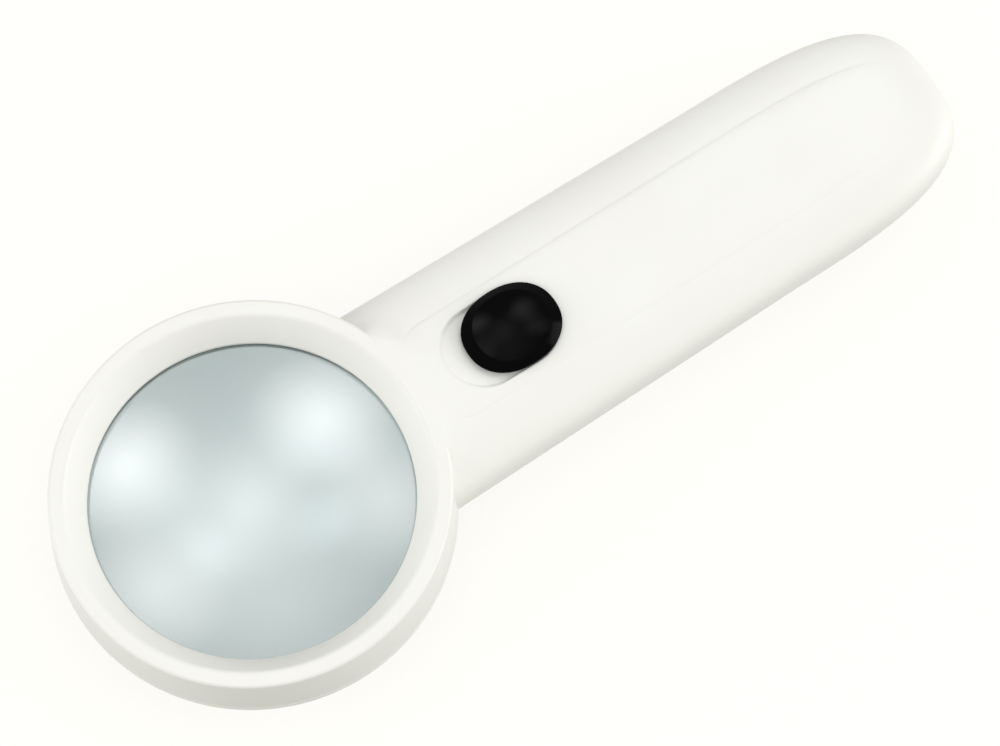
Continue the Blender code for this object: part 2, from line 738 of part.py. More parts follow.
def make_bottom_shell(look):
    """Lower casing: the hood and foot of the head, the neck's floor and the side walls of the battery bay."""
    shell = handle_loft("bottom_shell", 0.0)
    join(shell, foot_blank())
    trim_to_lower_half(shell)
    cut(shell, hood_cutter(), lower_cavity(), cover_region("cover_opening", 0.0))
    join(shell, bulkhead_head())
    for side, sign in LEFT_AND_RIGHT:
        inner = sign * CELL_Y
        outer = sign * (COVER_HALF_WIDTH + TONGUE_PROUD + SLIDE_GAP)
        low = (COVER_X, min(inner, outer), COVER_TOP_Z - SLIDE_GAP)
        high = (COVER_SPLIT_X + OVERCUT, max(inner, outer), COVER_TOP_Z + TONGUE_HEIGHT + 2 * SLIDE_GAP)
        cut(shell, block(f"groove_{side}", low, high))
        back = led_tip(sign) + LED_LENGTH * led_axis()
        front = led_tip(sign) - LED_LENGTH * led_axis()
        cut(shell, rod(f"led_port_{side}", LED_RADIUS + FIT_GAP, front, back))
    for name, x, y in case_screw_spots():
        head = SCREW_HEAD_RADIUS + FIT_GAP
        cut(shell, rod(f"{name}_head", head, (x, y, -OVERCUT), (x, y, SCREW_FLOOR_Z)))
        shank = SCREW_RADIUS + FIT_GAP
        cut(shell, rod(f"{name}_shank", shank, (x, y, 0), (x, y, PARTING_Z + OVERCUT), SMALL_ROUND_STEPS))
    return finish(shell, look)


def make_battery_cover(look):
    """Sliding lid: the handle's belly and lower tail, with a tongue along each side and grip grooves."""
    cover = handle_loft("battery_cover", 0.0)
    trim_to_lower_half(cover)
    keep_common(cover, cover_region("cover_keep", FIT_GAP))
    cut(cover, handle_loft("cover_hollow", WALL))
    for side, sign in LEFT_AND_RIGHT:
        inner = sign * (COVER_HALF_WIDTH - TONGUE_INSET)
        edge = sign * (COVER_HALF_WIDTH - FIT_GAP)
        outer = sign * (COVER_HALF_WIDTH + TONGUE_PROUD)
        front = COVER_X + TONGUE_FRONT
        rear = COVER_SPLIT_X - TONGUE_REAR
        low_z = COVER_TOP_Z + SLIDE_GAP
        high_z = low_z + TONGUE_HEIGHT
        foot = block(
            f"tongue_foot_{side}",
            (front, min(inner, edge), COVER_TOP_Z - COVER_EDGE / 2),
            (rear, max(inner, edge), high_z - SLIDE_GAP / 2),
        )
        hook = block(
            f"tongue_{side}",
            (front, min(inner, outer), low_z),
            (rear, max(inner, outer), high_z),
        )
        join(cover, foot, hook)
    for index in range(GRIP_COUNT):
        x = COVER_X + GRIP_START + GRIP_PITCH * index
        low = (x, -GRIP_HALF_LENGTH, -OVERCUT)
        grip = block("grip", low, (x + GRIP_WIDTH, GRIP_HALF_LENGTH, COVER_TOP_Z))
        cut(grip, handle_loft("grip_floor", BELLY_FLAT + GRIP_DEPTH))
        cut(cover, grip)
    set_origin(cover, (COVER_X, 0.0, 0.0))
    return finish(cover, look)


# Lens


def make_lens(look):
    """Double convex lens with a plain ground edge."""
    sag = LENS_CURVE_RADIUS - math.sqrt(LENS_CURVE_RADIUS**2 - LENS_RADIUS**2)
    half_angle = math.degrees(math.asin(LENS_RADIUS / LENS_CURVE_RADIUS))
    below = (0.0, LENS_BOTTOM_Z - sag + LENS_CURVE_RADIUS)
    above = (0.0, LENS_TOP_Z + sag - LENS_CURVE_RADIUS)
    profile = arc(below, LENS_CURVE_RADIUS, -90.0, half_angle - 90.0)
    profile += arc(above, LENS_CURVE_RADIUS, 90.0 - half_angle, 90.0)
    profile[0] = (0.0, LENS_BOTTOM_Z - sag)
    profile[-1] = (0.0, LENS_TOP_Z + sag)
    return finish(spun("lens", profile, RING_STEPS), look)


def make_lens_retaining_ring(look):
    """Ring that is pressed in behind the lens."""
    inner = RETAINER_RADIUS - RETAINER_WIDTH
    low = RETAINER_TOP_Z - RETAINER_HEIGHT
    under = [(inner, low), (RETAINER_RADIUS, low)]
    over = [(RETAINER_RADIUS, RETAINER_TOP_Z), (inner, RETAINER_TOP_Z)]
    return finish(spun("lens_retaining_ring", under + over, RING_STEPS), look)


# Thumb slide and switch


def post_top():
    """Top of the carriage's post, inside the thumb slide's socket."""
    return KNOB_BOTTOM_Z + FIT_GAP


def oval(half_length, half_across, height):
    """Ring of points round the knob's superellipse about the Z axis."""
    exponent = 2.0 / KNOB_EXPONENT
    points = []
    for step in range(2 * ROUND_STEPS):
        angle = math.pi * step / ROUND_STEPS
        along = half_length * power(math.cos(angle), exponent)
        points.append((along, half_across * power(math.sin(angle), exponent), height))
    return points


def make_slide_knob(look):
    """Oval thumb slide: a skirt, a sloping side up to the crest and a low domed top, on a square stem."""
    skirt_top = KNOB_BOTTOM_Z + KNOB_SKIRT
    crest_z = skirt_top + KNOB_SLOPE
    rings = [oval(KNOB_HALF_LENGTH, KNOB_HALF_WIDTH, height) for height in (KNOB_BOTTOM_Z, skirt_top)]
    smallest = 1.0 / ARC_STEPS
    for index in range(ARC_STEPS):
        share = 1.0 - index / ARC_STEPS
        height = crest_z + KNOB_DOME * (1.0 - share**2) / (1.0 - smallest**2)
        rings.append(oval(KNOB_CREST_HALF_LENGTH * share, KNOB_CREST_HALF_WIDTH * share, height))
    knob = loft("slide_knob", rings)
    stem_low = FRAME_TOP_Z + SLIDE_GAP
    half_length = STEM_LENGTH / 2
    half_width_of_stem = STEM_WIDTH / 2
    low = (-half_length, -half_width_of_stem, stem_low)
    join(knob, block("stem", low, (half_length, half_width_of_stem, KNOB_BOTTOM_Z + OVERLAP)))
    socket_length = POST_LENGTH / 2 + FIT_GAP
    socket_width = POST_WIDTH / 2 + FIT_GAP
    low = (-socket_length, -socket_width, stem_low - OVERCUT)
    cut(knob, block("socket", low, (socket_length, socket_width, post_top() + FIT_GAP)))
    knob.location = (KNOB_X, 0.0, 0.0)
    return finish(knob, look)


def carriage_bottom():
    """Underside of the switch's carriage, over the bridge contact and the base."""
    return FRAME_BOTTOM_Z + BASE_HEIGHT + FIT_GAP + BRIDGE_HEIGHT + 2 * FIT_GAP


def make_switch_slider(look):
    """Carriage of the switch, with the post that the thumb slide pushes."""
    top = FRAME_TOP_Z - FRAME_SHEET - FIT_GAP
    low = (-CARRIAGE_LENGTH / 2, -CARRIAGE_WIDTH / 2, carriage_bottom())
    slider = block("switch_slider", low, (CARRIAGE_LENGTH / 2, CARRIAGE_WIDTH / 2, top))
    low = (-POST_LENGTH / 2, -POST_WIDTH / 2, top - OVERLAP)
    join(slider, block("post", low, (POST_LENGTH / 2, POST_WIDTH / 2, post_top())))
    slider.location = (KNOB_X, 0.0, 0.0)
    return finish(slider, look)


def make_switch_bridge(look):
    """Flat moving contact under the carriage."""
    low_z = carriage_bottom() - FIT_GAP - BRIDGE_HEIGHT
    low = (-BRIDGE_LENGTH / 2, -BRIDGE_WIDTH / 2, low_z)
    bridge = block("switch_bridge", low, (BRIDGE_LENGTH / 2, BRIDGE_WIDTH / 2, low_z + BRIDGE_HEIGHT))
    bridge.location = (KNOB_X, 0.0, 0.0)
    return finish(bridge, look)


def make_switch_frame(look):
    """Folded metal case of the switch, open below, with a slot for the post."""
    half_length = FRAME_LENGTH / 2
    half = FRAME_WIDTH / 2
    low = (SWITCH_X - half_length, -half, FRAME_BOTTOM_Z)
    frame = block("switch_frame", low, (SWITCH_X + half_length, half, FRAME_TOP_Z))
    inner_length = half_length - FRAME_SHEET
    inner = half - FRAME_SHEET
    low = (SWITCH_X - inner_length, -inner, FRAME_BOTTOM_Z - OVERCUT)
    cut(frame, block("inside", low, (SWITCH_X + inner_length, inner, FRAME_TOP_Z - FRAME_SHEET)))
    slot_length = POST_LENGTH / 2 + KNOB_TRAVEL / 2 + SLIDE_GAP
    slot = POST_WIDTH / 2 + SLIDE_GAP
    low = (SWITCH_X - slot_length, -slot, FRAME_TOP_Z - OVERCUT)
    cut(frame, block("slot", low, (SWITCH_X + slot_length, slot, FRAME_TOP_Z + OVERCUT)))
    return finish(frame, look)


def terminal_places():
    """Names and x positions of the switch's three terminals."""
    names = ("front", "middle", "rear")
    return [(name, SWITCH_X + TERMINAL_PITCH * step) for name, step in zip(names, (-1, 0, 1))]


def terminal_block(name, x, gap, low, high):
    """A flat pin's shape, grown by gap."""
    half_length = TERMINAL_LENGTH / 2 + gap
    half = TERMINAL_WIDTH / 2 + gap
    return block(name, (x - half_length, -half, low), (x + half_length, half, high))


def make_switch_base(look):
    """Insulating base that closes the switch frame, with a hole for each terminal."""
    half_length = FRAME_LENGTH / 2 - FRAME_SHEET - FIT_GAP
    half = FRAME_WIDTH / 2 - FRAME_SHEET - FIT_GAP
    low = (SWITCH_X - half_length, -half, FRAME_BOTTOM_Z)
    base = block("switch_base", low, (SWITCH_X + half_length, half, FRAME_BOTTOM_Z + BASE_HEIGHT))
    for name, x in terminal_places():
        cut(base, terminal_block(name, x, BOARD_GAP, FRAME_BOTTOM_Z - OVERCUT, FRAME_TOP_Z))
    return finish(base, look)


def make_switch_terminals(look):
    """Flat pins that run from the base down through the board."""
    for name, x in terminal_places():
        top = FRAME_BOTTOM_Z + BASE_HEIGHT
        pin = terminal_block(f"switch_terminal_{name}", x, 0.0, BOARD_BOTTOM_Z - TERMINAL_TAIL, top)
        finish(pin, look)


# Circuit board


def lead_places():
    """Names, sides and y positions of the lamps' four leads."""
    places = []
    for side, sign in LEFT_AND_RIGHT:
        for pole, step in (("anode", 1), ("cathode", -1)):
            places.append((f"led_{side}_{pole}", sign, sign * LED_Y + step * LEAD_PITCH / 2))
    return places


def lead_hole_x():
    """Where the lamps' leads go through the board."""
    return BOARD_FRONT_X + LEAD_INSET


def make_circuit_board(look):
    """Board behind the switch, with holes for leads, pins and its two screws."""
    low = (BOARD_FRONT_X, -BOARD_HALF_WIDTH, BOARD_BOTTOM_Z)
    board = block("circuit_board", low, (BOARD_REAR_X, BOARD_HALF_WIDTH, BOARD_TOP_Z))
    under = BOARD_BOTTOM_Z - OVERCUT
    over = BOARD_TOP_Z + OVERCUT
    x = lead_hole_x()
    for name, _, y in lead_places():
        cut(board, rod(name, LEAD_HOLE_RADIUS, (x, y, under), (x, y, over), SMALL_ROUND_STEPS))
    for name, pin_x in terminal_places():
        cut(board, terminal_block(name, pin_x, FIT_GAP, under, over))
    for side, sign in LEFT_AND_RIGHT:
        y = sign * BOARD_POST_Y
        hole = (SCREW_RADIUS + FIT_GAP) * BOARD_SCREW_SCALE + FIT_GAP / 2
        cut(board, rod(side, hole, (SWITCH_X, y, under), (SWITCH_X, y, over), SMALL_ROUND_STEPS))
    return finish(board, look)


def make_series_resistor(look):
    """Chip resistor under the board's rear edge."""
    middle = BOARD_REAR_X - RESISTOR_INSET
    high = BOARD_BOTTOM_Z - BOARD_GAP
    low = (middle - RESISTOR_WIDTH / 2, -RESISTOR_LENGTH / 2, high - RESISTOR_HEIGHT)
    chip = block("series_resistor", low, (middle + RESISTOR_WIDTH / 2, RESISTOR_LENGTH / 2, high))
    return finish(chip, look)


# Lamps


def make_led(side, sign, look):
    """Clear lamp with a domed tip and a flange, aimed at what lies under the lens."""
    dome = arc((0.0, LED_LENGTH - LED_RADIUS), LED_RADIUS, 0.0, 90.0)
    dome[-1] = (0.0, LED_LENGTH)
    flange = [(0.0, 0.0), (LED_FLANGE_RADIUS, 0.0), (LED_FLANGE_RADIUS, LED_FLANGE_HEIGHT)]
    profile = flange + [(LED_RADIUS, LED_FLANGE_HEIGHT)] + dome
    lamp = spun(f"led_{side}", profile, ROUND_STEPS)
    lamp.location = led_tip(sign) + LED_LENGTH * led_axis()
    lamp.rotation_euler = (-led_axis()).to_track_quat("Z", "Y").to_euler()
    return finish(lamp, look)


def make_led_leads(look):
    """Bent leads from each lamp's back up through the board."""
    for name, sign, y in lead_places():
        start = led_tip(sign) + (LED_LENGTH + BOARD_GAP + LEAD_RADIUS) * led_axis()
        start.y = y
        end = Vector((lead_hole_x(), y, BOARD_TOP_Z + LEAD_PROUD))
        ahead = start + LEAD_REACH * led_axis()
        under = end - Vector((0.0, 0.0, LEAD_REACH))
        points = bezier(start, ahead, under, end, LEAD_STEPS)
        finish(tube(name, points, LEAD_RADIUS), look)


# Cells and contacts


def make_cell(side, sign, look):
    """One AAA cell. The left one has its nub to the front, the right one to the tail."""
    body = CELL_LENGTH - CELL_NUB_HEIGHT
    edge = CELL_RADIUS - CELL_CORNER
    profile = [(0.0, 0.0)]
    profile += arc((edge, CELL_CORNER), CELL_CORNER, -90.0, 0.0, 2)
    profile += arc((edge, body - CELL_CORNER), CELL_CORNER, 0.0, 90.0, 2)
    profile += [(CELL_NUB_RADIUS, body), (CELL_NUB_RADIUS, CELL_LENGTH), (0.0, CELL_LENGTH)]
    cell = spun(f"battery_{side}", profile, 2 * SMALL_ROUND_STEPS)
    flat_end = LINK_X - FIT_GAP - SPRING_LENGTH - FIT_GAP
    if sign < 0:
        flat_end = CONTACT_REAR_X + FIT_GAP + SPRING_LENGTH + FIT_GAP
    cell.location = (flat_end, sign * CELL_Y, CELL_Z)
    cell.rotation_euler = Vector((-sign, 0.0, 0.0)).to_track_quat("Z", "Y").to_euler()
    return finish(cell, look)


def make_contact(name, sign, look):
    """Front contact plate with a solder tab bent over the bulkhead."""
    y = sign * CELL_Y
    top = tab_height() + CONTACT_THICKNESS
    low = (CONTACT_X, y - CONTACT_HALF_WIDTH, CELL_Z - CONTACT_HALF_HEIGHT)
    plate = block(name, low, (CONTACT_REAR_X, y + CONTACT_HALF_WIDTH, top))
    low = (BULKHEAD_X - FIT_GAP, y - TAB_HALF_WIDTH, tab_height())
    join(plate, block("tab", low, (CONTACT_X + CONTACT_THICKNESS / 2, y + TAB_HALF_WIDTH, top)))
    return finish(plate, look)


def make_link_plate(look):
    """Rear plate that joins the two cells."""
    half = CELL_Y + SPRING_RADIUS
    low = (LINK_X, -half, CELL_Z - LINK_MARGIN)
    plate = block("link_plate", low, (LINK_X + CONTACT_THICKNESS, half, CELL_Z + LINK_MARGIN))
    return finish(plate, look)


def make_spring(name, foot_x, direction, sign, look):
    """Tapered coil spring that stands on a plate at foot_x and presses on a cell's flat end."""
    points = []
    total = SPRING_TURNS * COIL_STEPS
    run = SPRING_LENGTH - 2 * SPRING_WIRE
    for index in range(total + 1):
        share = index / total
        angle = 2 * math.pi * SPRING_TURNS * share
        radius = SPRING_RADIUS + (SPRING_TIP_RADIUS - SPRING_RADIUS) * share - SPRING_WIRE
        x = foot_x + direction * (SPRING_WIRE + run * share)
        points.append((x, sign * CELL_Y + radius * math.cos(angle), CELL_Z + radius * math.sin(angle)))
    return finish(tube(name, points, SPRING_WIRE), look)


def make_wire(name, sign, look):
    """Short insulated wire from a solder tab down to the board."""
    start = Vector((BULKHEAD_X - 2 * FIT_GAP, sign * CELL_Y, tab_height() + WIRE_RADIUS / 2))
    end = Vector((BOARD_REAR_X - WIRE_REACH, sign * (CELL_Y - WIRE_SHIFT), BOARD_TOP_Z + FIT_GAP))
    ahead = start - Vector((WIRE_REACH, 0.0, 0.0))
    above = end + Vector((0.0, 0.0, WIRE_REACH))
    return finish(tube(name, bezier(start, ahead, above, end, LEAD_STEPS), WIRE_RADIUS), look)


# Screws


def board_screw_reach():
    """Length of a board screw above its head."""
    return (SCREW_LEDGE + SCREW_GRIP) * BOARD_SCREW_SCALE


def screw_mesh(name, scale):
    """A cross-head screw that points up, with its head's bearing face at its origin."""
    head = SCREW_HEAD_RADIUS * scale
    height = SCREW_HEAD_HEIGHT * scale
    radius = SCREW_RADIUS * scale
    length = (SCREW_LEDGE + SCREW_GRIP) * scale
    tip = length - radius
    face = SCREW_FACE_RADIUS * scale
    profile = [(0.0, -height), (face, -height), (head, -SCREW_EDGE * scale), (head, 0.0), (radius, 0.0)]
    screw = spun(name, profile + [(radius, tip), (0.0, length)], SMALL_ROUND_STEPS)
    slot = SCREW_SLOT_WIDTH / 2 * scale
    depth = SCREW_SLOT_DEPTH * scale - height
    cut(screw, block("slot", (-face, -slot, -height - OVERCUT), (face, slot, depth)))
    cut(screw, block("slot", (-slot, -face, -height - OVERCUT), (slot, face, depth)))
    mesh = screw.data
    bpy.data.objects.remove(screw, do_unlink=True)
    return mesh


def make_screws(look):
    """Four case screws from below, and two smaller ones that hold the board."""
    mesh = screw_mesh("case_screw", 1.0)
    for name, x, y in case_screw_spots():
        screw = add_object(name, mesh)
        screw.location = (x, y, SCREW_FLOOR_Z - BOARD_GAP)
        finish(screw, look)
    mesh = screw_mesh("board_screw", BOARD_SCREW_SCALE)
    for side, sign in LEFT_AND_RIGHT:
        screw = add_object(f"board_screw_{side}", mesh)
        screw.location = (SWITCH_X, sign * BOARD_POST_Y, BOARD_BOTTOM_Z - BOARD_GAP)
        finish(screw, look)


def main():
    """Builds every piece and hangs them all from one empty."""
    clear_scene()
    white = material("white_plastic", (0.86, 0.86, 0.83), 0.3)
    black = material("black_plastic", (0.012, 0.012, 0.014), 0.15)
    glass = material("lens_glass", (0.92, 0.96, 0.97), 0.02)
    steel = material("plated_steel", (0.68, 0.68, 0.7), 0.3, 1.0)
    brass = material("tinned_brass", (0.75, 0.66, 0.42), 0.35, 1.0)
    epoxy = material("lamp_epoxy", (0.9, 0.92, 0.95), 0.05)
    board_green = material("board_green", (0.05, 0.22, 0.1), 0.5)
    insulator = material("insulator", (0.55, 0.32, 0.14), 0.6)
    ceramic = material("resistor_black", (0.04, 0.04, 0.045), 0.5)
    jacket = material("cell_jacket", (0.12, 0.2, 0.35), 0.35)
    red_wire = material("red_wire", (0.55, 0.04, 0.03), 0.45)
    black_wire = material("black_wire", (0.02, 0.02, 0.02), 0.45)

    make_top_shell(white)
    make_bottom_shell(white)
    make_battery_cover(white)
    make_lens(glass)
    make_lens_retaining_ring(white)
    make_slide_knob(black)
    make_switch_slider(black)
    make_switch_bridge(brass)
    make_switch_frame(steel)
    make_switch_base(insulator)
    make_switch_terminals(brass)
    make_circuit_board(board_green)
    make_series_resistor(ceramic)
    for side, sign in LEFT_AND_RIGHT:
        make_led(side, sign, epoxy)
        make_cell(side, sign, jacket)
    make_led_leads(steel)
    make_contact("contact_positive", 1, steel)
    make_contact("contact_negative", -1, steel)
    make_link_plate(steel)
    make_spring("spring_front", CONTACT_REAR_X + FIT_GAP, 1, -1, steel)
    make_spring("spring_tail", LINK_X - FIT_GAP, -1, 1, steel)
    make_wire("wire_positive", 1, red_wire)
    make_wire("wire_negative", -1, black_wire)
    make_screws(steel)

    pieces = list(bpy.context.scene.objects)
    footprint = bpy.data.objects.new("hand_lens", None)
    bpy.context.scene.collection.objects.link(footprint)
    footprint.location = (-FOOTPRINT_MIDDLE_X, 0.0, 0.0)
    for piece in pieces:
        piece.parent = footprint


main()
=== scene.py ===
"""Looks of the lit hand lens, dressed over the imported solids.

Shapes are drawn in millimetres about the lens axis, with the table at z = 0, and then put into the frame's
metres. They repeat the solids' sizes with finer facets and rounded edges.
"""

import json
import math
from math import cos, pi, radians, sin

import bmesh
import bpy
import numpy as np
from mathutils import Matrix, Vector
from mathutils.geometry import delaunay_2d_cdt


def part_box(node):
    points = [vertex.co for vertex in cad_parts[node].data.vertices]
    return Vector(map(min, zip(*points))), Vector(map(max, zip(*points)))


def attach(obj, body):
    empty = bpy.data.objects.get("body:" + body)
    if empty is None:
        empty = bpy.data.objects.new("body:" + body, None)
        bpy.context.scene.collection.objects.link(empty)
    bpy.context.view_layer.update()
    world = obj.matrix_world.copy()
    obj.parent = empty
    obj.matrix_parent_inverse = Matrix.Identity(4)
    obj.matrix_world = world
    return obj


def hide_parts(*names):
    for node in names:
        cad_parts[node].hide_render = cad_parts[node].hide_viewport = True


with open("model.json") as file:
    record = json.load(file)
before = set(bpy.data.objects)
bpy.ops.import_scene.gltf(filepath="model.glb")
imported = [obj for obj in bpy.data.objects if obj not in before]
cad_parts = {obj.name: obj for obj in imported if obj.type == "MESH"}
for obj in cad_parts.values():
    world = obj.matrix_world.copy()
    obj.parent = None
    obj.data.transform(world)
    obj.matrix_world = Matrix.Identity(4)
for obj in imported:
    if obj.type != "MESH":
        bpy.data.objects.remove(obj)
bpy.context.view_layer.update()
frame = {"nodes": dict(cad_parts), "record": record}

MM = 0.001
SIGNS = (1, -1)
LEFT_AND_RIGHT = (("left", 1), ("right", -1))

# Clearances
FIT_GAP = 0.2
SLIDE_GAP = 0.25
OVERCUT = 1.0
OVERLAP = 0.5
BOARD_GAP = 0.1

# Lens and head
LENS_RADIUS = 21.2
LENS_TOP_Z = 12.2
LENS_BOTTOM_Z = 10.8
LENS_CURVE_RADIUS = 100.0
LENS_CHAMFER = 0.15
LIP_RADIUS = 20.5
LIP_TOP_Z = 13.0
LIP_BOTTOM_Z = 12.4
LIP_ROUND = 0.15
SEAT_RADIUS = 21.55
SEAT_RISE = 0.02
BARREL_RADIUS = 23.2
RIM_INNER_RADIUS = 23.0
RIM_RADIUS = 25.0
RING_RADIUS = 25.6
RIM_Z = 16.6
RIM_FILLET = 0.45
RIM_INNER_ROUND = 0.8
PARTING_Z = 8.7
SEAM_Z = 8.55
SEAM_ROUND = 0.3
FOOT_Z = 6.8
FOOT_FILLET = 1.0
HOOD_FOOT_RADIUS = 21.95
HOOD_FLARE = 1.0
RETAINER_RADIUS = 21.35
RETAINER_WIDTH = 0.8
RETAINER_TOP_Z = 10.6
RETAINER_HEIGHT = 1.6
RETAINER_ROUND = 0.2

# Handle
WALL = 1.6
WAIST_Z = 10.65
HANDLE_RISE = 5.75
BELLY_DEPTH = 11.0
REAR_HALF_WIDTH = 13.55
HANDLE_TAPER = 0.75
TAIL_START_X = 72.951
TAIL_LENGTH = 30.6
HANDLE_REACH = TAIL_START_X + TAIL_LENGTH
TAIL_EXPONENT = 3.3
TAIL_HEIGHT_EXPONENT = 4.2
TAIL_TIP_FLAT = 0.02
SECTION_EXPONENT = 3.0
BELLY_EXPONENT = 2.1
BELLY_FLAT = 0.35
LOFT_FRONT = 10.0
SKIN_FRONT_RADIUS = 24.2
SKIN_OVERLAP = 0.8
NECK_RADIUS = 28.4
NECK_LOW_Z = 15.2
NECK_HIGH_Z = 16.2
NECK_DROP = 0.012

# Panel, pocket and thumb slide
PANEL_SINK = 0.12
PANEL_PROUD = 0.08
PANEL_FRONT_FADE = 2.8
PANEL_TAIL_FADE = (0.68, 1.0)
PANEL_HALF_WIDTH = 6.95
PANEL_FRONT_X = 25.6
PANEL_CORNER = 3.5
PANEL_TAIL_GAP = 2.8
PANEL_TAIL_LENGTH = 26.0
PANEL_TAIL_X = HANDLE_REACH - PANEL_TAIL_GAP - PANEL_TAIL_LENGTH
PANEL_TAIL_EXPONENT = 3.0
PANEL_STEP = ((-0.1, 0.0), (-0.05, 0.12), (0.0, 0.5), (0.05, 0.88), (0.1, 1.0))
POCKET_FRONT_X = 34.4
POCKET_REAR_X = 39.3
POCKET_HALF_WIDTH = 5.4
POCKET_WALL = 1.2
POCKET_Z = 15.5
POCKET_UNDER_Z = 13.5
POCKET_TOP_ROUND = 0.25
POCKET_FLOOR_ROUND = 0.3
POCKET_DRAFT = 0.06
POCKET_FRONT_DEPTH = 0.06
POCKET_RAMP_X = 36.0
SWITCH_X = 36.85
KNOB_X = 38.6
KNOB_TRAVEL = 3.5
KNOB_HALF_LENGTH = 6.5
KNOB_HALF_WIDTH = 5.5
KNOB_EXPONENT = 2.2
KNOB_CREST_HALF_LENGTH = 5.0
KNOB_CREST_HALF_WIDTH = 4.45
KNOB_BOTTOM_Z = 16.35
KNOB_SKIRT = 0.35
KNOB_SLOPE = 0.8
KNOB_DOME = 0.6
KNOB_ROUND = 0.15
KNOB_CREST_ROUND = 0.3
STEM_LENGTH = 3.6
STEM_WIDTH = 3.4
STEM_LOW_Z = 13.55
SOCKET_LENGTH = 2.2
SOCKET_WIDTH = 2.0
SOCKET_TOP_Z = 16.75

# Inside of the casing
CELL_RADIUS = 5.1
CELL_LENGTH = 44.5
CELL_Y = 5.2
CELL_Z = 9.25
CELL_CORNER = 0.5
CELL_RECESS = 0.15
CELL_CAP_RADIUS = 3.0
CELL_WASHER_RADIUS = 3.4
CELL_BEAD_RADIUS = 3.7
CELL_BEAD = 0.12
CELL_BEAD_Z = 1.6
CELL_BEAD_SHAPE = ((-0.5, 0.0), (-0.2, 0.6), (0.0, 1.0), (0.2, 0.6), (0.5, 0.0))
CELL_BAND = 9.0
CELL_NUB_RADIUS = 1.9
CELL_NUB_HEIGHT = 0.9
BULKHEAD_X = 43.4
BULKHEAD_WALL = 1.2
BULKHEAD_STEP = 0.15
BULKHEAD_HALF_WIDTH = 9.55
TAB_Z = 12.65
CONTACT_REAR_X = 45.2
LINK_X = 93.3
LINK_MARGIN = 3.2
TAIL_RIB_X = 93.9
TAIL_RIB_WALL = 1.2
TAIL_RIB_HALF_WIDTH = 8.35
SPRING_LENGTH = 3.0
SPRING_RADIUS = 3.0
SPRING_TIP_RADIUS = 2.0
SPRING_WIRE = 0.35
SPRING_TURNS = 3.5
SPRING_END_SHARE = 0.14
SPRING_FACETS = 4
BOARD_TOP_Z = 10.0
BOARD_POST_Y = 5.0
BOARD_POST_RADIUS = 1.7
BOARD_PILOT_RADIUS = 0.94
BOARD_PILOT_TOP_Z = 14.15
BOSS_RADIUS = 2.3
PILOT_RADIUS = 1.2
PILOT_TOP_Z = 13.25
NECK_SCREW_X = 27.2
BAY_SCREW_X = 40.4
SCREW_Y = 9.4
SCREW_SPOTS = [
    (f"case_screw_{row}_{side}", x, sign * SCREW_Y)
    for side, sign in LEFT_AND_RIGHT
    for row, x in (("neck", NECK_SCREW_X), ("bay", BAY_SCREW_X))
]
SCREW_FLOOR_Z = 5.55
SCREW_RADIUS = 1.0
SCREW_HEAD_RADIUS = 1.9
SCREW_HEAD_HEIGHT = 1.3
SCREW_FACE_RADIUS = 1.15
SCREW_EDGE = 0.65
SCREW_LENGTH = 7.5
SCREW_SLOT_WIDTH = 0.5
SCREW_SLOT_DEPTH = 0.6
SCREW_SLOT_TAPER = 0.6
LED_RADIUS = 1.5
LED_LENGTH = 5.3
LED_FLANGE_RADIUS = 1.9
LED_FLANGE_HEIGHT = 1.0
LED_Y = 4.4
LED_TIP_Z = 3.8
LED_PROUD = 0.35
LED_TILT = radians(30.0)
LED_AXIS = Vector((cos(LED_TILT), 0.0, sin(LED_TILT)))
LED_POST_HALF = 0.22
LED_POST_X = 0.55
LED_CUP_RADIUS = 0.55
LED_CUP_Z = 2.3
LED_CUP_DEPTH = 0.5
LED_CHIP_HALF = 0.2

# Battery cover
COVER_X = 45.6
COVER_SPLIT_X = 75.951
COVER_HALF_WIDTH = 9.95
COVER_TOP_Z = 4.4164
COVER_EDGE = 1.5
TONGUE_INSET = 0.6
TONGUE_PROUD = 0.4
TONGUE_HEIGHT = 0.6
TONGUE_FRONT = 2.0
TONGUE_REAR = 1.0
GRIP_COUNT = 5
GRIP_PITCH = 2.0
GRIP_WIDTH = 0.8
GRIP_DEPTH = 0.35
GRIP_HALF_LENGTH = 5.0
GRIP_START = 4.0

# Facets
RING_STEPS = 240
KNOB_STEPS = 120
SMALL_STEPS = 48
SECTION_STEPS = 48
TAIL_STEPS = 40
ARC_STEPS = 8
NOSE_POINTS = 28
SIDE_POINTS = 48
TAIL_POINTS = 64
SKIN_ROWS = 30
WAIST_ROWS = 5
LINE_SAMPLES = 400
LINE_EXPONENT = 3
CURVE_SAMPLES = 2000
GRID_STEP = 0.9
GRID_MARGIN = 0.5
POCKET_END_POINTS = 40
POCKET_SIDE_POINTS = 6
POCKET_ARC_STEPS = 5
WAIST_HALVINGS = 60
BELLY_HALVINGS = 40
SMOOTH_ANGLE = radians(32.0)
MERGE_DISTANCE = 1e-5
HEAD_MARGIN = 1e-3
SLIVER_AREA = 1e-3
FILL_TOLERANCE = 1e-7
TINY = 1e-9

# Looks
WHITE = (1.0, 1.0, 1.0)
NOISE_LOW = 0.3
NOISE_HIGH = 0.7
CLOUD_SCALE = 60.0
FINE_DETAIL = 3.0
GRAIN_DETAIL = 2.0
GRAIN_STRENGTH = 0.5
HAZE_SCALE = 120.0
HAZE = (0.0, 0.03)
LENS_IOR = 1.49
EPOXY_IOR = 1.53
COAT_IOR = 1.9
COAT_ROUGHNESS = 0.25
JACKET, METAL, WASHER, BAND = range(4)
LEAD_FRAME, PHOSPHOR = 1, 2


# Mesh helpers


def mix(start, end, share):
    """The value a share of the way from start to end."""
    return start + (end - start) * share


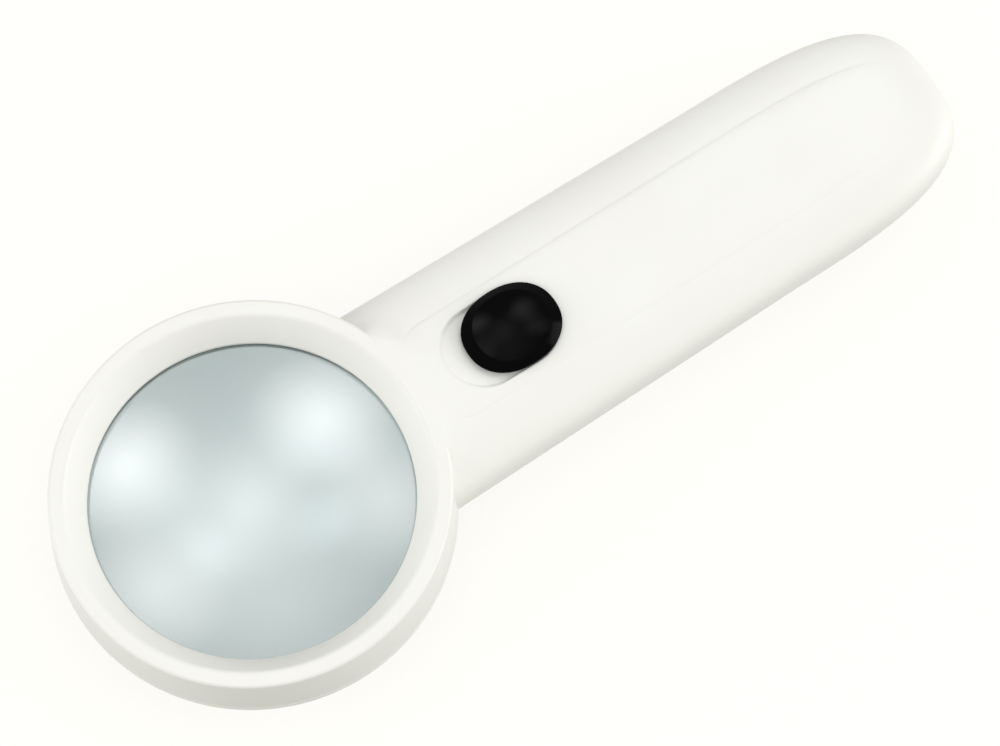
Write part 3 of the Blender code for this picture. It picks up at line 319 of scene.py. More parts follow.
def link(name, data):
    """Links a new object for a mesh, curve, camera or lamp."""
    made = bpy.data.objects.new(name, data)
    bpy.context.scene.collection.objects.link(made)
    return made


def solid(name, bm):
    """Turns a bmesh into an object with its faces pointing out."""
    bmesh.ops.remove_doubles(bm, verts=bm.verts, dist=MERGE_DISTANCE)
    bmesh.ops.recalc_face_normals(bm, faces=bm.faces)
    mesh = bpy.data.meshes.new(name)
    bm.to_mesh(mesh)
    bm.free()
    return link(name, mesh)


def block(low, high):
    """A box between two corners."""
    size = Vector(high) - Vector(low)
    middle = (Vector(high) + Vector(low)) / 2
    bm = bmesh.new()
    bmesh.ops.create_cube(bm, size=1.0, matrix=Matrix.Translation(middle) @ Matrix.Diagonal(size.to_4d()))
    return solid("block", bm)


def rod(radius, start, end, steps=SMALL_STEPS):
    """A round bar between two points."""
    start = Vector(start)
    end = Vector(end)
    turn = (end - start).to_track_quat("Z", "Y").to_matrix().to_4x4()
    matrix = Matrix.Translation((start + end) / 2) @ turn
    size = {"radius1": radius, "radius2": radius, "depth": (end - start).length}
    bm = bmesh.new()
    bmesh.ops.create_cone(bm, cap_ends=True, segments=steps, matrix=matrix, **size)
    return solid("rod", bm)


def bar(front, rear, half, low, high):
    """A box that is centred across the handle."""
    return block((front, -half, low), (rear, half, high))


def post(radius, x, y, low, high, steps=SMALL_STEPS):
    """An upright round bar."""
    return rod(radius, (x, y, low), (x, y, high), steps)


def turned(name, profile, steps=RING_STEPS):
    """A solid turned about the Z axis. A profile from axis to axis stays open there."""
    closed = profile[0][0] > 0.0
    bm = bmesh.new()
    columns = []
    for step in range(steps):
        angle = 2 * pi * step / steps
        cosine = cos(angle)
        sine = sin(angle)
        columns.append([bm.verts.new((r * cosine, r * sine, z)) for r, z in profile])
    count = len(profile)
    for step in range(steps):
        here = columns[step]
        there = columns[(step + 1) % steps]
        for index in range(count if closed else count - 1):
            after = (index + 1) % count
            corners = [here[index], there[index], there[after], here[after]]
            if profile[index][0] == 0.0:
                corners.pop(1)
            elif profile[after][0] == 0.0:
                corners.pop(2)
            bm.faces.new(corners)
    return solid(name, bm)


def bridge(bm, rows):
    """Faces between rows of equally many points."""
    for row, following in zip(rows, rows[1:]):
        for index in range(len(row)):
            after = (index + 1) % len(row)
            bm.faces.new((row[index], row[after], following[after], following[index]))


def loft(name, rings):
    """A closed skin through rings of equally many points."""
    bm = bmesh.new()
    rows = [[bm.verts.new(point) for point in ring] for ring in rings]
    bridge(bm, rows)
    bm.faces.new(reversed(rows[0]))
    bm.faces.new(rows[-1])
    return solid(name, bm)


def prism(outline, low, high):
    """An outline in plan raised from one height to another."""
    return loft("prism", [[(x, y, z) for x, y in outline] for z in (low, high)])


def combine(target, tool, operation):
    """Applies one exact boolean to the target and drops the tool."""
    modifier = target.modifiers.new(operation, "BOOLEAN")
    modifier.operation = operation
    modifier.solver = "EXACT"
    modifier.object = tool
    graph = bpy.context.evaluated_depsgraph_get()
    graph.update()
    result = bpy.data.meshes.new_from_object(target.evaluated_get(graph))
    target.modifiers.clear()
    target.data = result
    bpy.data.objects.remove(tool, do_unlink=True)


def cut(target, *tools):
    """Takes each tool's shape out of the target."""
    for tool in tools:
        combine(target, tool, "DIFFERENCE")


def join(target, *tools):
    """Makes the tools part of the target."""
    for tool in tools:
        combine(target, tool, "UNION")


def arc(centre, radius, start, end, steps=ARC_STEPS):
    """Points of an arc, both ends included. Angles are in degrees."""
    points = []
    for index in range(steps + 1):
        angle = radians(start + (end - start) * index / steps)
        points.append((centre[0] + radius * cos(angle), centre[1] + radius * sin(angle)))
    return points


def rounded(corners, radii):
    """A closed profile with its corners rounded by the radii."""
    points = []
    count = len(corners)
    for index, radius in enumerate(radii):
        here = Vector(corners[index])
        if radius == 0.0:
            points.append(tuple(here))
            continue
        back = (Vector(corners[index - 1]) - here).normalized()
        ahead = (Vector(corners[(index + 1) % count]) - here).normalized()
        reach = radius / math.tan(back.angle(ahead) / 2)
        start = here + back * reach
        end = here + ahead * reach
        for step in range(ARC_STEPS + 1):
            t = step / ARC_STEPS
            points.append(tuple(start * (1 - t) ** 2 + here * (2 * t * (1 - t)) + end * t**2))
    return points


def resample(points, count):
    """Evenly spaced points along a polyline, both ends included."""
    points = np.asarray(points, float)
    lengths = np.linalg.norm(np.diff(points, axis=0), axis=1)
    along = np.concatenate(([0.0], np.cumsum(lengths)))
    spots = np.linspace(0.0, along[-1], count + 1)
    return np.stack([np.interp(spots, along, points[:, axis]) for axis in range(points.shape[1])], axis=1)


# Shape of the handle


def tail_scale(x, inset, exponent):
    """How far the section has shrunk at x, for a skin drawn in by inset."""
    reach = np.clip((x - TAIL_START_X) / (TAIL_LENGTH - inset), 0.0, 1.0)
    return (1.0 - reach**exponent) ** (1.0 / exponent)


def half_width(x, inset=0.0):
    """Half width of the handle at x."""
    taper = HANDLE_TAPER * np.maximum(0.0, TAIL_START_X - x) / (TAIL_START_X - RIM_RADIUS)
    return (REAR_HALF_WIDTH + taper - inset) * tail_scale(x, inset, TAIL_EXPONENT)


def ease(value, start, end):
    """Runs smoothly from 0 at start to 1 at end."""
    share = np.clip((value - start) / (end - start), 0.0, 1.0)
    return share * share * (3.0 - 2.0 * share)


def skin_height(x, y):
    """Height of the handle's upper skin, which runs level into the head's rim."""
    width = np.maximum(half_width(x), TINY)
    share = np.clip(np.abs(y) / width, 0.0, 1.0)
    rise = HANDLE_RISE * tail_scale(x, 0.0, TAIL_HEIGHT_EXPONENT)
    height = WAIST_Z + rise * (1.0 - share**SECTION_EXPONENT) ** (1.0 / SECTION_EXPONENT)
    level = (1.0 - ease(np.hypot(x, y), RIM_RADIUS, NECK_RADIUS)) * ease(height, NECK_LOW_Z, NECK_HIGH_Z)
    return mix(height, RIM_Z - NECK_DROP, level)


def power(value, exponent):
    """A signed power, for superellipses."""
    return math.copysign(abs(value) ** exponent, value)


def section(x, inset):
    """Ring round the handle at x: a superellipse above the waist, a rounder one below."""
    width = half_width(x, inset)
    shrink = tail_scale(x, inset, TAIL_HEIGHT_EXPONENT)
    points = []
    for index in range(2 * SECTION_STEPS):
        angle = pi * index / SECTION_STEPS
        upper = index <= SECTION_STEPS
        exponent = SECTION_EXPONENT if upper else BELLY_EXPONENT
        height = HANDLE_RISE if upper else BELLY_DEPTH
        across = width * power(cos(angle), 2.0 / exponent)
        up = (height - inset) * shrink * power(sin(angle), 2.0 / exponent)
        points.append((x, across, WAIST_Z + up))
    return points


def handle_loft(inset):
    """The whole handle as one solid, inset from its skin."""
    places = [LOFT_FRONT, RIM_RADIUS, TAIL_START_X]
    for index in range(1, TAIL_STEPS + 1):
        share = sin(pi / 2 * index / TAIL_STEPS)
        places.append(TAIL_START_X + (TAIL_LENGTH - inset) * share - TAIL_TIP_FLAT * (index == TAIL_STEPS))
    return loft("handle", [section(x, inset) for x in places])


def quarter(start_x, length, width, exponent):
    """Superellipse from the side of a tail round to its tip."""
    angle = np.linspace(pi / 2, 0.0, CURVE_SAMPLES)
    across = np.abs(np.cos(angle)) ** (2.0 / exponent)
    along = np.abs(np.sin(angle)) ** (2.0 / exponent)
    across[0] = 0.0
    along[-1] = 0.0
    return np.stack([start_x + length * across, width * along], axis=1)


def whole_loop(nose, side, tail):
    """A closed loop from three stretches of its +Y half and their mirror image."""
    stretches = ((nose, NOSE_POINTS), (side, SIDE_POINTS), (tail, TAIL_POINTS))
    half = [resample(points, count) for points, count in stretches]
    half = np.concatenate([half[0][:-1], half[1][:-1], half[2]])
    half[[0, -1], 1] = 0.0
    mirrored = half[-2:0:-1] * np.array([1.0, -1.0])
    return np.concatenate([half, mirrored])


def panel_loop():
    """Outline of the panel."""
    corner = (PANEL_FRONT_X + PANEL_CORNER, PANEL_HALF_WIDTH - PANEL_CORNER)
    nose = [(PANEL_FRONT_X, 0.0)] + arc(corner, PANEL_CORNER, 180.0, 90.0, 4 * ARC_STEPS)
    side = [(corner[0], PANEL_HALF_WIDTH), (PANEL_TAIL_X, PANEL_HALF_WIDTH)]
    tail = quarter(PANEL_TAIL_X, PANEL_TAIL_LENGTH, PANEL_HALF_WIDTH, PANEL_TAIL_EXPONENT)
    return whole_loop(nose, side, tail)


def panel_share(x):
    """How much of the panel's step is left at x. It fades at both ends."""
    reach = (x - PANEL_TAIL_X) / PANEL_TAIL_LENGTH
    return ease(x, PANEL_FRONT_X, PANEL_FRONT_X + PANEL_FRONT_FADE) * (1.0 - ease(reach, *PANEL_TAIL_FADE))


def panel_height(x, y):
    """Height of the panel, which follows the skin."""
    return skin_height(x, y) - PANEL_SINK * panel_share(x)


def waist_loop():
    """Plan of the handle's waist, closed by an arc inside the head's wall."""
    low = 0.0
    high = pi / 2
    for _ in range(WAIST_HALVINGS):
        middle = (low + high) / 2
        inside = SKIN_FRONT_RADIUS * sin(middle) < half_width(SKIN_FRONT_RADIUS * cos(middle))
        low, high = (middle, high) if inside else (low, middle)
    nose = arc((0.0, 0.0), SKIN_FRONT_RADIUS, 0.0, math.degrees(low), 8 * ARC_STEPS)
    side = [nose[-1], (TAIL_START_X, REAR_HALF_WIDTH)]
    return whole_loop(nose, side, quarter(TAIL_START_X, TAIL_LENGTH, REAR_HALF_WIDTH, TAIL_EXPONENT))


def outward(loop):
    """Outward normals of a loop in plan."""
    tangent = np.roll(loop, -1, axis=0) - np.roll(loop, 1, axis=0)
    normal = np.stack([tangent[:, 1], -tangent[:, 0]], axis=1)
    normal /= np.linalg.norm(normal, axis=1)[:, None]
    return normal * np.sign(np.sum(normal * (loop - loop.mean(axis=0))))


def pocket_ends(half, steps):
    """Round front and rear ends of the pocket's outline."""
    nose = arc((POCKET_FRONT_X, 0.0), half, 90.0, 270.0, steps)
    return nose, arc((POCKET_REAR_X, 0.0), half, -90.0, 90.0, steps)


def pocket_loop(inset):
    """Outline of the pocket, drawn in by inset."""
    nose, rear = pocket_ends(POCKET_HALF_WIDTH - inset, POCKET_END_POINTS)
    points = []
    for start, end in ((nose, rear), (rear, nose)):
        points += start
        for step in range(1, POCKET_SIDE_POINTS):
            share = step / POCKET_SIDE_POINTS
            points.append(tuple(Vector(start[-1]).lerp(Vector(end[0]), share)))
    return np.array(points)


def pocket_profile():
    """Inset and height of each pocket loop, and whether the height counts from the floor."""
    profile = []
    for x, z in arc((-POCKET_TOP_ROUND, -POCKET_TOP_ROUND), POCKET_TOP_ROUND, 90.0, 0.0, POCKET_ARC_STEPS):
        profile.append((x, z, False))
    centre = (POCKET_DRAFT + POCKET_FLOOR_ROUND, POCKET_FLOOR_ROUND)
    for x, z in arc(centre, POCKET_FLOOR_ROUND, 180.0, 270.0, POCKET_ARC_STEPS):
        profile.append((x, z, True))
    return profile


def belly_rows(loop, top):
    """Rows past the parting plane: the belly's curve, or straight in the head."""
    normal = outward(loop)
    in_head = np.hypot(loop[:, 0], loop[:, 1]) < SKIN_FRONT_RADIUS + HEAD_MARGIN
    rows = []
    for step in range(1, WAIST_ROWS + 1):
        share = step / WAIST_ROWS
        height = mix(top, PARTING_Z - SKIN_OVERLAP, share)
        low = np.zeros(len(loop))
        high = np.full(len(loop), WALL)
        for _ in range(BELLY_HALVINGS):
            middle = (low + high) / 2
            spot = loop - normal * middle[:, None]
            width = np.maximum(half_width(spot[:, 0]), TINY)
            depth = np.maximum(BELLY_DEPTH * tail_scale(spot[:, 0], 0.0, TAIL_HEIGHT_EXPONENT), TINY)
            measure = (np.abs(spot[:, 1]) / width) ** BELLY_EXPONENT
            measure = measure + ((WAIST_Z - height) / depth) ** BELLY_EXPONENT
            low = np.where(measure > 1.0, middle, low)
            high = np.where(measure > 1.0, high, middle)
        inset = np.where(in_head, 0.0, high)
        spot = loop - normal * inset[:, None]
        rows.append(np.column_stack([spot, height]))
    return rows


def skin_rows():
    """Rows from the panel's edge out to the waist and past the parting plane."""
    panel = panel_loop()
    waist = waist_loop()
    normal = outward(panel)
    rows = []
    for offset, share in reversed(PANEL_STEP):
        spot = panel - normal * offset
        step = PANEL_PROUD * panel_share(spot[:, 0]) * (1.0 - share)
        rows.append(np.column_stack([spot, panel_height(spot[:, 0], spot[:, 1]) - step]))
    start = rows.pop()[:, :2]
    share = 1.0 - (1.0 - np.linspace(0.0, 1.0, LINE_SAMPLES)) ** LINE_EXPONENT
    lines = []
    for index in range(len(panel)):
        plan = mix(start[index], waist[index], share[:, None])
        drop = (PANEL_SINK + PANEL_PROUD) * panel_share(plan[:, 0]) * (1.0 - share)
        line = np.column_stack([plan, skin_height(plan[:, 0], plan[:, 1]) - drop])
        lines.append(resample(line, SKIN_ROWS))
    lines = np.array(lines)
    rows += [lines[:, row] for row in range(SKIN_ROWS + 1)]
    rows += belly_rows(waist, rows[-1][:, 2])
    return rows


def pocket_floor(x):
    """Height of the pocket's floor, which ramps up at its front end."""
    front = POCKET_FRONT_X - POCKET_HALF_WIDTH
    high = panel_height(front, 0.0) - POCKET_FRONT_DEPTH
    return mix(POCKET_Z, high, 1.0 - ease(x, front, POCKET_RAMP_X))


def grid_points(outline, margin):
    """Grid of points inside a convex outline and clear of its edge."""
    normal = outward(outline)
    low = outline.min(axis=0)
    high = outline.max(axis=0)
    half_count = math.floor(high[1] / GRID_STEP)
    points = []
    for x in np.arange(low[0], high[0], GRID_STEP):
        for y in np.arange(-half_count, half_count + 1) * GRID_STEP:
            if np.max(np.sum((np.array([x, y]) - outline) * normal, axis=1)) < -margin:
                points.append((x, y))
    return points


def plan_area(corners):
    """Area of a triangle in plan."""
    first = corners[1].co.xy - corners[0].co.xy
    second = corners[2].co.xy - corners[0].co.xy
    return abs(first.x * second.y - first.y * second.x) / 2


def fill(bm, edge, hole, spots):
    """Triangles inside an outline, round a hole and through the spots."""
    verts = edge + hole + spots
    edges = [(index, (index + 1) % len(edge)) for index in range(len(edge))]
    first = len(edge)
    edges += [(first + index, first + (index + 1) % len(hole)) for index in range(len(hole))]
    result = delaunay_2d_cdt([vert.co.xy for vert in verts], edges, [], 0, FILL_TOLERANCE)
    sources = [verts[origin[0]] for origin in result[3]]
    hole_set = set(hole)
    edge_set = set(edge)
    for triangle in result[2]:
        corners = [sources[index] for index in triangle]
        in_hole = all(corner in hole_set for corner in corners)
        flat = all(corner in edge_set for corner in corners) and plan_area(corners) < SLIVER_AREA
        if not in_hole and not flat:
            bm.faces.new(corners)


def pocket_rows(bm):
    """Loops of the pocket's wall, from its rounded mouth to its floor."""
    rows = []
    for inset, height, from_floor in pocket_profile():
        row = []
        for x, y in pocket_loop(inset):
            panel_z = panel_height(x, y)
            floor_z = pocket_floor(x)
            squeeze = min(1.0, (panel_z - floor_z) / (POCKET_TOP_ROUND + POCKET_FLOOR_ROUND))
            row.append(bm.verts.new((x, y, (floor_z if from_floor else panel_z) + height * squeeze)))
        rows.append(row)
    return rows


def top_body():
    """The handle's upper half with panel and pocket, reaching into the head."""
    bm = bmesh.new()
    rows = [[bm.verts.new(point) for point in row] for row in skin_rows()]
    bridge(bm, rows)
    bm.faces.new(rows[-1])
    walls = pocket_rows(bm)
    bridge(bm, walls)
    spots = []
    for x, y in grid_points(np.array([vert.co.xy for vert in rows[0]]), GRID_MARGIN):
        along = min(max(x, POCKET_FRONT_X), POCKET_REAR_X)
        if math.hypot(x - along, y) > POCKET_HALF_WIDTH + POCKET_TOP_ROUND + GRID_MARGIN:
            spots.append(bm.verts.new((x, y, panel_height(x, y))))
    fill(bm, rows[0], walls[0], spots)
    floor = []
    for x, y in grid_points(np.array([vert.co.xy for vert in walls[-1]]), GRID_MARGIN):
        floor.append(bm.verts.new((x, y, pocket_floor(x))))
    fill(bm, walls[-1], [], floor)
    return solid("casing_top", bm)


# Casing


def everything_between(low, high):
    """A slab larger than the whole object, between two heights."""
    wide = 2 * RING_RADIUS
    return bar(-wide, HANDLE_REACH + wide, wide, low, high)


def rim_blank():
    """The head above the parting plane, without its lens seat."""
    edge = arc((RIM_RADIUS - RIM_FILLET, RIM_Z - RIM_FILLET), RIM_FILLET, 0.0, 90.0)
    low = PARTING_Z - OVERCUT
    seam = RING_RADIUS - SEAM_ROUND
    wall = [(0.0, low), (seam, low), (seam, PARTING_Z)]
    wall += arc((seam, PARTING_Z + SEAM_ROUND), SEAM_ROUND, -90.0, 0.0)[1:]
    return turned("rim", wall + edge + [(0.0, RIM_Z)])


def lens_seat():
    """Cutter for the cone, the lip and the lens's bore."""
    low = PARTING_Z - 2 * OVERCUT
    high = RIM_Z + OVERCUT
    outer = RIM_INNER_RADIUS + high - RIM_Z
    corners = [
        (SEAT_RADIUS, low),
        (SEAT_RADIUS, LIP_BOTTOM_Z),
        (LIP_RADIUS, LIP_BOTTOM_Z),
        (LIP_RADIUS, LIP_TOP_Z),
        (RIM_INNER_RADIUS, RIM_Z),
        (outer, RIM_Z),
        (outer, high),
    ]
    radii = (0.0, 0.0, LIP_ROUND, LIP_ROUND, RIM_INNER_ROUND, 0.0, 0.0)
    inner = rounded(corners, radii)
    lifted = [(r, z + SEAT_RISE * (r > RIM_INNER_RADIUS + RIM_INNER_ROUND and z < high)) for r, z in inner]
    return turned("lens_seat", [(0.0, low)] + lifted + [(0.0, high)])


def tail_rib(low, high):
    """The cross rib behind the cells, between two heights."""
    return bar(TAIL_RIB_X, TAIL_RIB_X + TAIL_RIB_WALL, TAIL_RIB_HALF_WIDTH, low, high)


def upper_cavity():
    """Hollow of the upper half, less bosses, pocket floor, lens barrel and tail rib."""
    hollow = handle_loft(WALL)
    cut(hollow, post(BARREL_RADIUS, 0, 0, 0, RIM_Z + OVERCUT, RING_STEPS))
    for _, x, y in SCREW_SPOTS:
        cut(hollow, post(BOSS_RADIUS, x, y, 0, RIM_Z))
    for sign in SIGNS:
        cut(hollow, post(BOARD_POST_RADIUS, SWITCH_X, sign * BOARD_POST_Y, BOARD_TOP_Z + BOARD_GAP, RIM_Z))
    nose, rear = pocket_ends(POCKET_HALF_WIDTH + POCKET_WALL, SMALL_STEPS)
    cut(hollow, prism(nose + rear, POCKET_UNDER_Z, RIM_Z), tail_rib(0, RIM_Z))
    return hollow


def make_top():
    """Upper casing: rim, cone and lip of the head, and the handle's upper half."""
    shell = top_body()
    join(shell, rim_blank())
    cut(shell, everything_between(-OVERCUT, PARTING_Z), lens_seat(), upper_cavity())
    join(shell, tail_rib(CELL_Z - LINK_MARGIN - FIT_GAP, PARTING_Z + OVERLAP))
    length = STEM_LENGTH / 2 + KNOB_TRAVEL / 2 + SLIDE_GAP
    width = STEM_WIDTH / 2 + SLIDE_GAP
    cut(shell, bar(SWITCH_X - length, SWITCH_X + length, width, POCKET_UNDER_Z - OVERCUT, RIM_Z))
    for _, x, y in SCREW_SPOTS:
        cut(shell, post(PILOT_RADIUS, x, y, 0, PILOT_TOP_Z))
    for sign in SIGNS:
        cut(shell, post(BOARD_PILOT_RADIUS, SWITCH_X, sign * BOARD_POST_Y, 0, BOARD_PILOT_TOP_Z))
    return shell


def hood_radius(height):
    """Inner radius of the head's hood below the lens."""
    return HOOD_FOOT_RADIUS - HOOD_FLARE * height / SEAM_Z


def foot_blank():
    """The head below the seam, without its opening."""
    edge = arc((RING_RADIUS - FOOT_FILLET, FOOT_Z + FOOT_FILLET), FOOT_FILLET, -90.0, 0.0)
    seam = RING_RADIUS - SEAM_ROUND
    edge += arc((seam, SEAM_Z - SEAM_ROUND), SEAM_ROUND, 0.0, 90.0)
    high = SEAM_Z + OVERCUT
    edge += [(seam, high), (0.0, high)]
    return turned("foot", [(0.0, FOOT_Z)] + edge)


def hood_cutter():
    """Opening below the lens, wider at the foot and turned half a facet."""
    low = -2 * OVERCUT
    high = SEAM_Z + 2 * OVERCUT
    profile = [(0.0, low), (hood_radius(low), low), (hood_radius(high), high), (0.0, high)]
    cutter = turned("hood", profile)
    cutter.data.transform(Matrix.Rotation(pi / RING_STEPS, 4, "Z"))
    return cutter


def lower_cavity():
    """Hollow of the lower half, less screw columns, head and bulkhead."""
    hollow = handle_loft(WALL)
    cut(hollow, post(BARREL_RADIUS, 0, 0, -OVERCUT, RIM_Z, RING_STEPS))
    high = SEAM_Z + 2 * OVERCUT
    for _, x, y in SCREW_SPOTS:
        cut(hollow, post(BOSS_RADIUS + WALL / 2, x, y, -OVERCUT, high))
    cut(hollow, bar(BULKHEAD_X, BULKHEAD_X + BULKHEAD_WALL, 2 * REAR_HALF_WIDTH, -OVERCUT, high))
    return hollow


def cover_region(gap):
    """The belly and the whole tail of the lower half, drawn in by gap."""
    far = HANDLE_REACH + OVERCUT
    region = bar(COVER_X + gap, far, COVER_HALF_WIDTH - gap, -OVERCUT, COVER_TOP_Z - gap)
    join(region, bar(COVER_SPLIT_X + gap, far, 2 * REAR_HALF_WIDTH, -OVERCUT, SEAM_Z + OVERCUT))
    return region


def led_tip(sign):
    """Place of a lamp's tip, just proud of the hood's wall."""
    wall_x = math.sqrt(hood_radius(LED_TIP_Z) ** 2 - LED_Y**2)
    return Vector((wall_x - LED_PROUD, sign * LED_Y, LED_TIP_Z))


def trim_to_lower_half(body):
    """Cuts a lower piece flat at the seam and at the table."""
    cut(body, everything_between(SEAM_Z, RIM_Z + OVERCUT), everything_between(-2 * BELLY_DEPTH, 0.0))


def make_bottom():
    """Lower casing: the head's hood and foot, the neck's floor and the bay's walls."""
    shell = handle_loft(0.0)
    join(shell, foot_blank())
    trim_to_lower_half(shell)
    cut(shell, hood_cutter(), lower_cavity(), cover_region(0.0))
    front = BULKHEAD_X + BULKHEAD_STEP
    rear = BULKHEAD_X + BULKHEAD_WALL - BULKHEAD_STEP
    join(shell, bar(front, rear, BULKHEAD_HALF_WIDTH, SEAM_Z - OVERLAP, TAB_Z - FIT_GAP))
    high = COVER_TOP_Z + TONGUE_HEIGHT + 2 * SLIDE_GAP
    for sign in SIGNS:
        sides = sorted((sign * CELL_Y, sign * (COVER_HALF_WIDTH + TONGUE_PROUD + SLIDE_GAP)))
        low = (COVER_X, sides[0], COVER_TOP_Z - SLIDE_GAP)
        cut(shell, block(low, (COVER_SPLIT_X + OVERCUT, sides[1], high)))
        reach = LED_LENGTH * LED_AXIS
        cut(shell, rod(LED_RADIUS + FIT_GAP, led_tip(sign) - reach, led_tip(sign) + reach))
    for _, x, y in SCREW_SPOTS:
        cut(shell, post(SCREW_HEAD_RADIUS + FIT_GAP, x, y, -OVERCUT, SCREW_FLOOR_Z))
        cut(shell, post(PILOT_RADIUS, x, y, 0, PARTING_Z + OVERCUT))
    return shell


def make_cover():
    """Sliding lid: belly and lower tail, with a tongue along each side and grip grooves."""
    cover = handle_loft(0.0)
    trim_to_lower_half(cover)
    combine(cover, cover_region(FIT_GAP), "INTERSECT")
    cut(cover, handle_loft(WALL))
    front = COVER_X + TONGUE_FRONT
    rear = COVER_SPLIT_X - TONGUE_REAR
    low_z = COVER_TOP_Z + SLIDE_GAP
    high_z = low_z + TONGUE_HEIGHT
    for sign in SIGNS:
        inner = sign * (COVER_HALF_WIDTH - TONGUE_INSET)
        foot = sorted((inner, sign * (COVER_HALF_WIDTH - FIT_GAP)))
        hook = sorted((inner, sign * (COVER_HALF_WIDTH + TONGUE_PROUD)))
        low = (front, foot[0], COVER_TOP_Z - COVER_EDGE / 2)
        join(cover, block(low, (rear, foot[1], high_z - SLIDE_GAP / 2)))
        join(cover, block((front, hook[0], low_z), (rear, hook[1], high_z)))
    for index in range(GRIP_COUNT):
        x = COVER_X + GRIP_START + GRIP_PITCH * index
        grip = bar(x, x + GRIP_WIDTH, GRIP_HALF_LENGTH, -OVERCUT, COVER_TOP_Z)
        cut(grip, handle_loft(BELLY_FLAT + GRIP_DEPTH))
        cut(cover, grip)
    return cover


# Lens, ring and thumb slide


def make_lens():
    """Double convex lens with a ground edge and small chamfers."""
    curve = LENS_CURVE_RADIUS
    edge_radius = LENS_RADIUS - LENS_CHAMFER
    sag = curve - math.sqrt(curve**2 - LENS_RADIUS**2)
    half_angle = math.degrees(math.asin(edge_radius / curve))
    below = (0.0, LENS_BOTTOM_Z - sag + curve)
    above = (0.0, LENS_TOP_Z + sag - curve)
    profile = arc(below, curve, -90.0, half_angle - 90.0, 6 * ARC_STEPS)
    profile += [(LENS_RADIUS, LENS_BOTTOM_Z + LENS_CHAMFER), (LENS_RADIUS, LENS_TOP_Z - LENS_CHAMFER)]
    profile += arc(above, curve, 90.0 - half_angle, 90.0, 6 * ARC_STEPS)
    profile[0] = (0.0, LENS_BOTTOM_Z - sag)
    profile[-1] = (0.0, LENS_TOP_Z + sag)
    return turned("magnifier", profile)


def make_retainer():
    """Ring pressed in behind the lens, with rounded edges."""
    inner = RETAINER_RADIUS - RETAINER_WIDTH
    outer = RETAINER_RADIUS
    high = RETAINER_TOP_Z
    low = high - RETAINER_HEIGHT
    corners = [(inner, low), (outer, low), (outer, high), (inner, high)]
    return turned("lens_clamp", rounded(corners, (RETAINER_ROUND,) * 4))


def knob_profile():
    """From the foot up: share of the way in from outline to crest, share of the crest kept, and height."""
    skirt_top = KNOB_BOTTOM_Z + KNOB_SKIRT
    crest = skirt_top + KNOB_SLOPE
    inset = KNOB_HALF_LENGTH - KNOB_CREST_HALF_LENGTH
    corners = [(-inset, KNOB_BOTTOM_Z), (0.0, KNOB_BOTTOM_Z), (0.0, skirt_top), (-inset, crest)]
    start = 1.0 - KNOB_CREST_ROUND / KNOB_CREST_HALF_LENGTH * 2
    corners.append((-inset - KNOB_CREST_HALF_LENGTH * (1.0 - start), crest + KNOB_DOME * (1.0 - start**2)))
    radii = (0.0, KNOB_ROUND, KNOB_ROUND, KNOB_CREST_ROUND, 0.0)
    profile = []
    for x, z in rounded(corners, radii)[1:]:
        share = -x / inset
        kept = 1.0 - max(share - 1.0, 0.0) * inset / KNOB_CREST_HALF_LENGTH
        profile.append((min(share, 1.0), kept, z))
    steps = 3 * ARC_STEPS
    for index in range(1, steps):
        kept = start * (1.0 - index / steps)
        profile.append((1.0, kept, crest + KNOB_DOME * (1.0 - kept**2)))
    return profile


def make_knob():
    """Oval thumb slide: skirt, slope, low dome and a stem with a socket."""
    rings = []
    exponent = 2.0 / KNOB_EXPONENT
    for share, kept, z in knob_profile():
        half_length = mix(KNOB_HALF_LENGTH, KNOB_CREST_HALF_LENGTH, share) * kept
        half_across = mix(KNOB_HALF_WIDTH, KNOB_CREST_HALF_WIDTH, share) * kept
        ring = []
        for step in range(KNOB_STEPS):
            angle = 2 * pi * step / KNOB_STEPS
            along = half_length * power(cos(angle), exponent)
            ring.append((along, half_across * power(sin(angle), exponent), z))
        rings.append(ring)
    knob = loft("knob", rings)
    half = STEM_LENGTH / 2
    join(knob, bar(-half, half, STEM_WIDTH / 2, STEM_LOW_Z, KNOB_BOTTOM_Z + OVERLAP))
    half = SOCKET_LENGTH / 2
    cut(knob, bar(-half, half, SOCKET_WIDTH / 2, STEM_LOW_Z - OVERCUT, SOCKET_TOP_Z))
    knob.data.transform(Matrix.Translation((KNOB_X, 0.0, 0.0)))
    return knob


# Cells, springs, lamps and screws


def place(piece, spot, direction):
    """Turns a piece's Z axis along a direction and moves it to a spot."""
    turn = Vector(direction).to_track_quat("Z", "Y").to_matrix().to_4x4()
    piece.data.transform(Matrix.Translation(spot) @ turn)
    return piece


def wear(piece, *looks):
    """Gives a piece its looks, in order."""
    for look in looks:
        piece.data.materials.append(look)


def cell_look(radius, height):
    """Which look a cell's face takes: jacket, metal, washer or band."""
    body = CELL_LENGTH - CELL_NUB_HEIGHT
    at_cap = height > body - 2 * CELL_RECESS
    at_foot = height < 2 * CELL_RECESS
    if at_cap and radius < CELL_CAP_RADIUS or at_foot and radius < CELL_BEAD_RADIUS:
        return METAL
    if at_cap and radius < CELL_WASHER_RADIUS:
        return WASHER
    in_band = height > body - CELL_BAND and radius > CELL_RADIUS - CELL_BEAD - CELL_CORNER / 2
    return BAND if in_band else JACKET


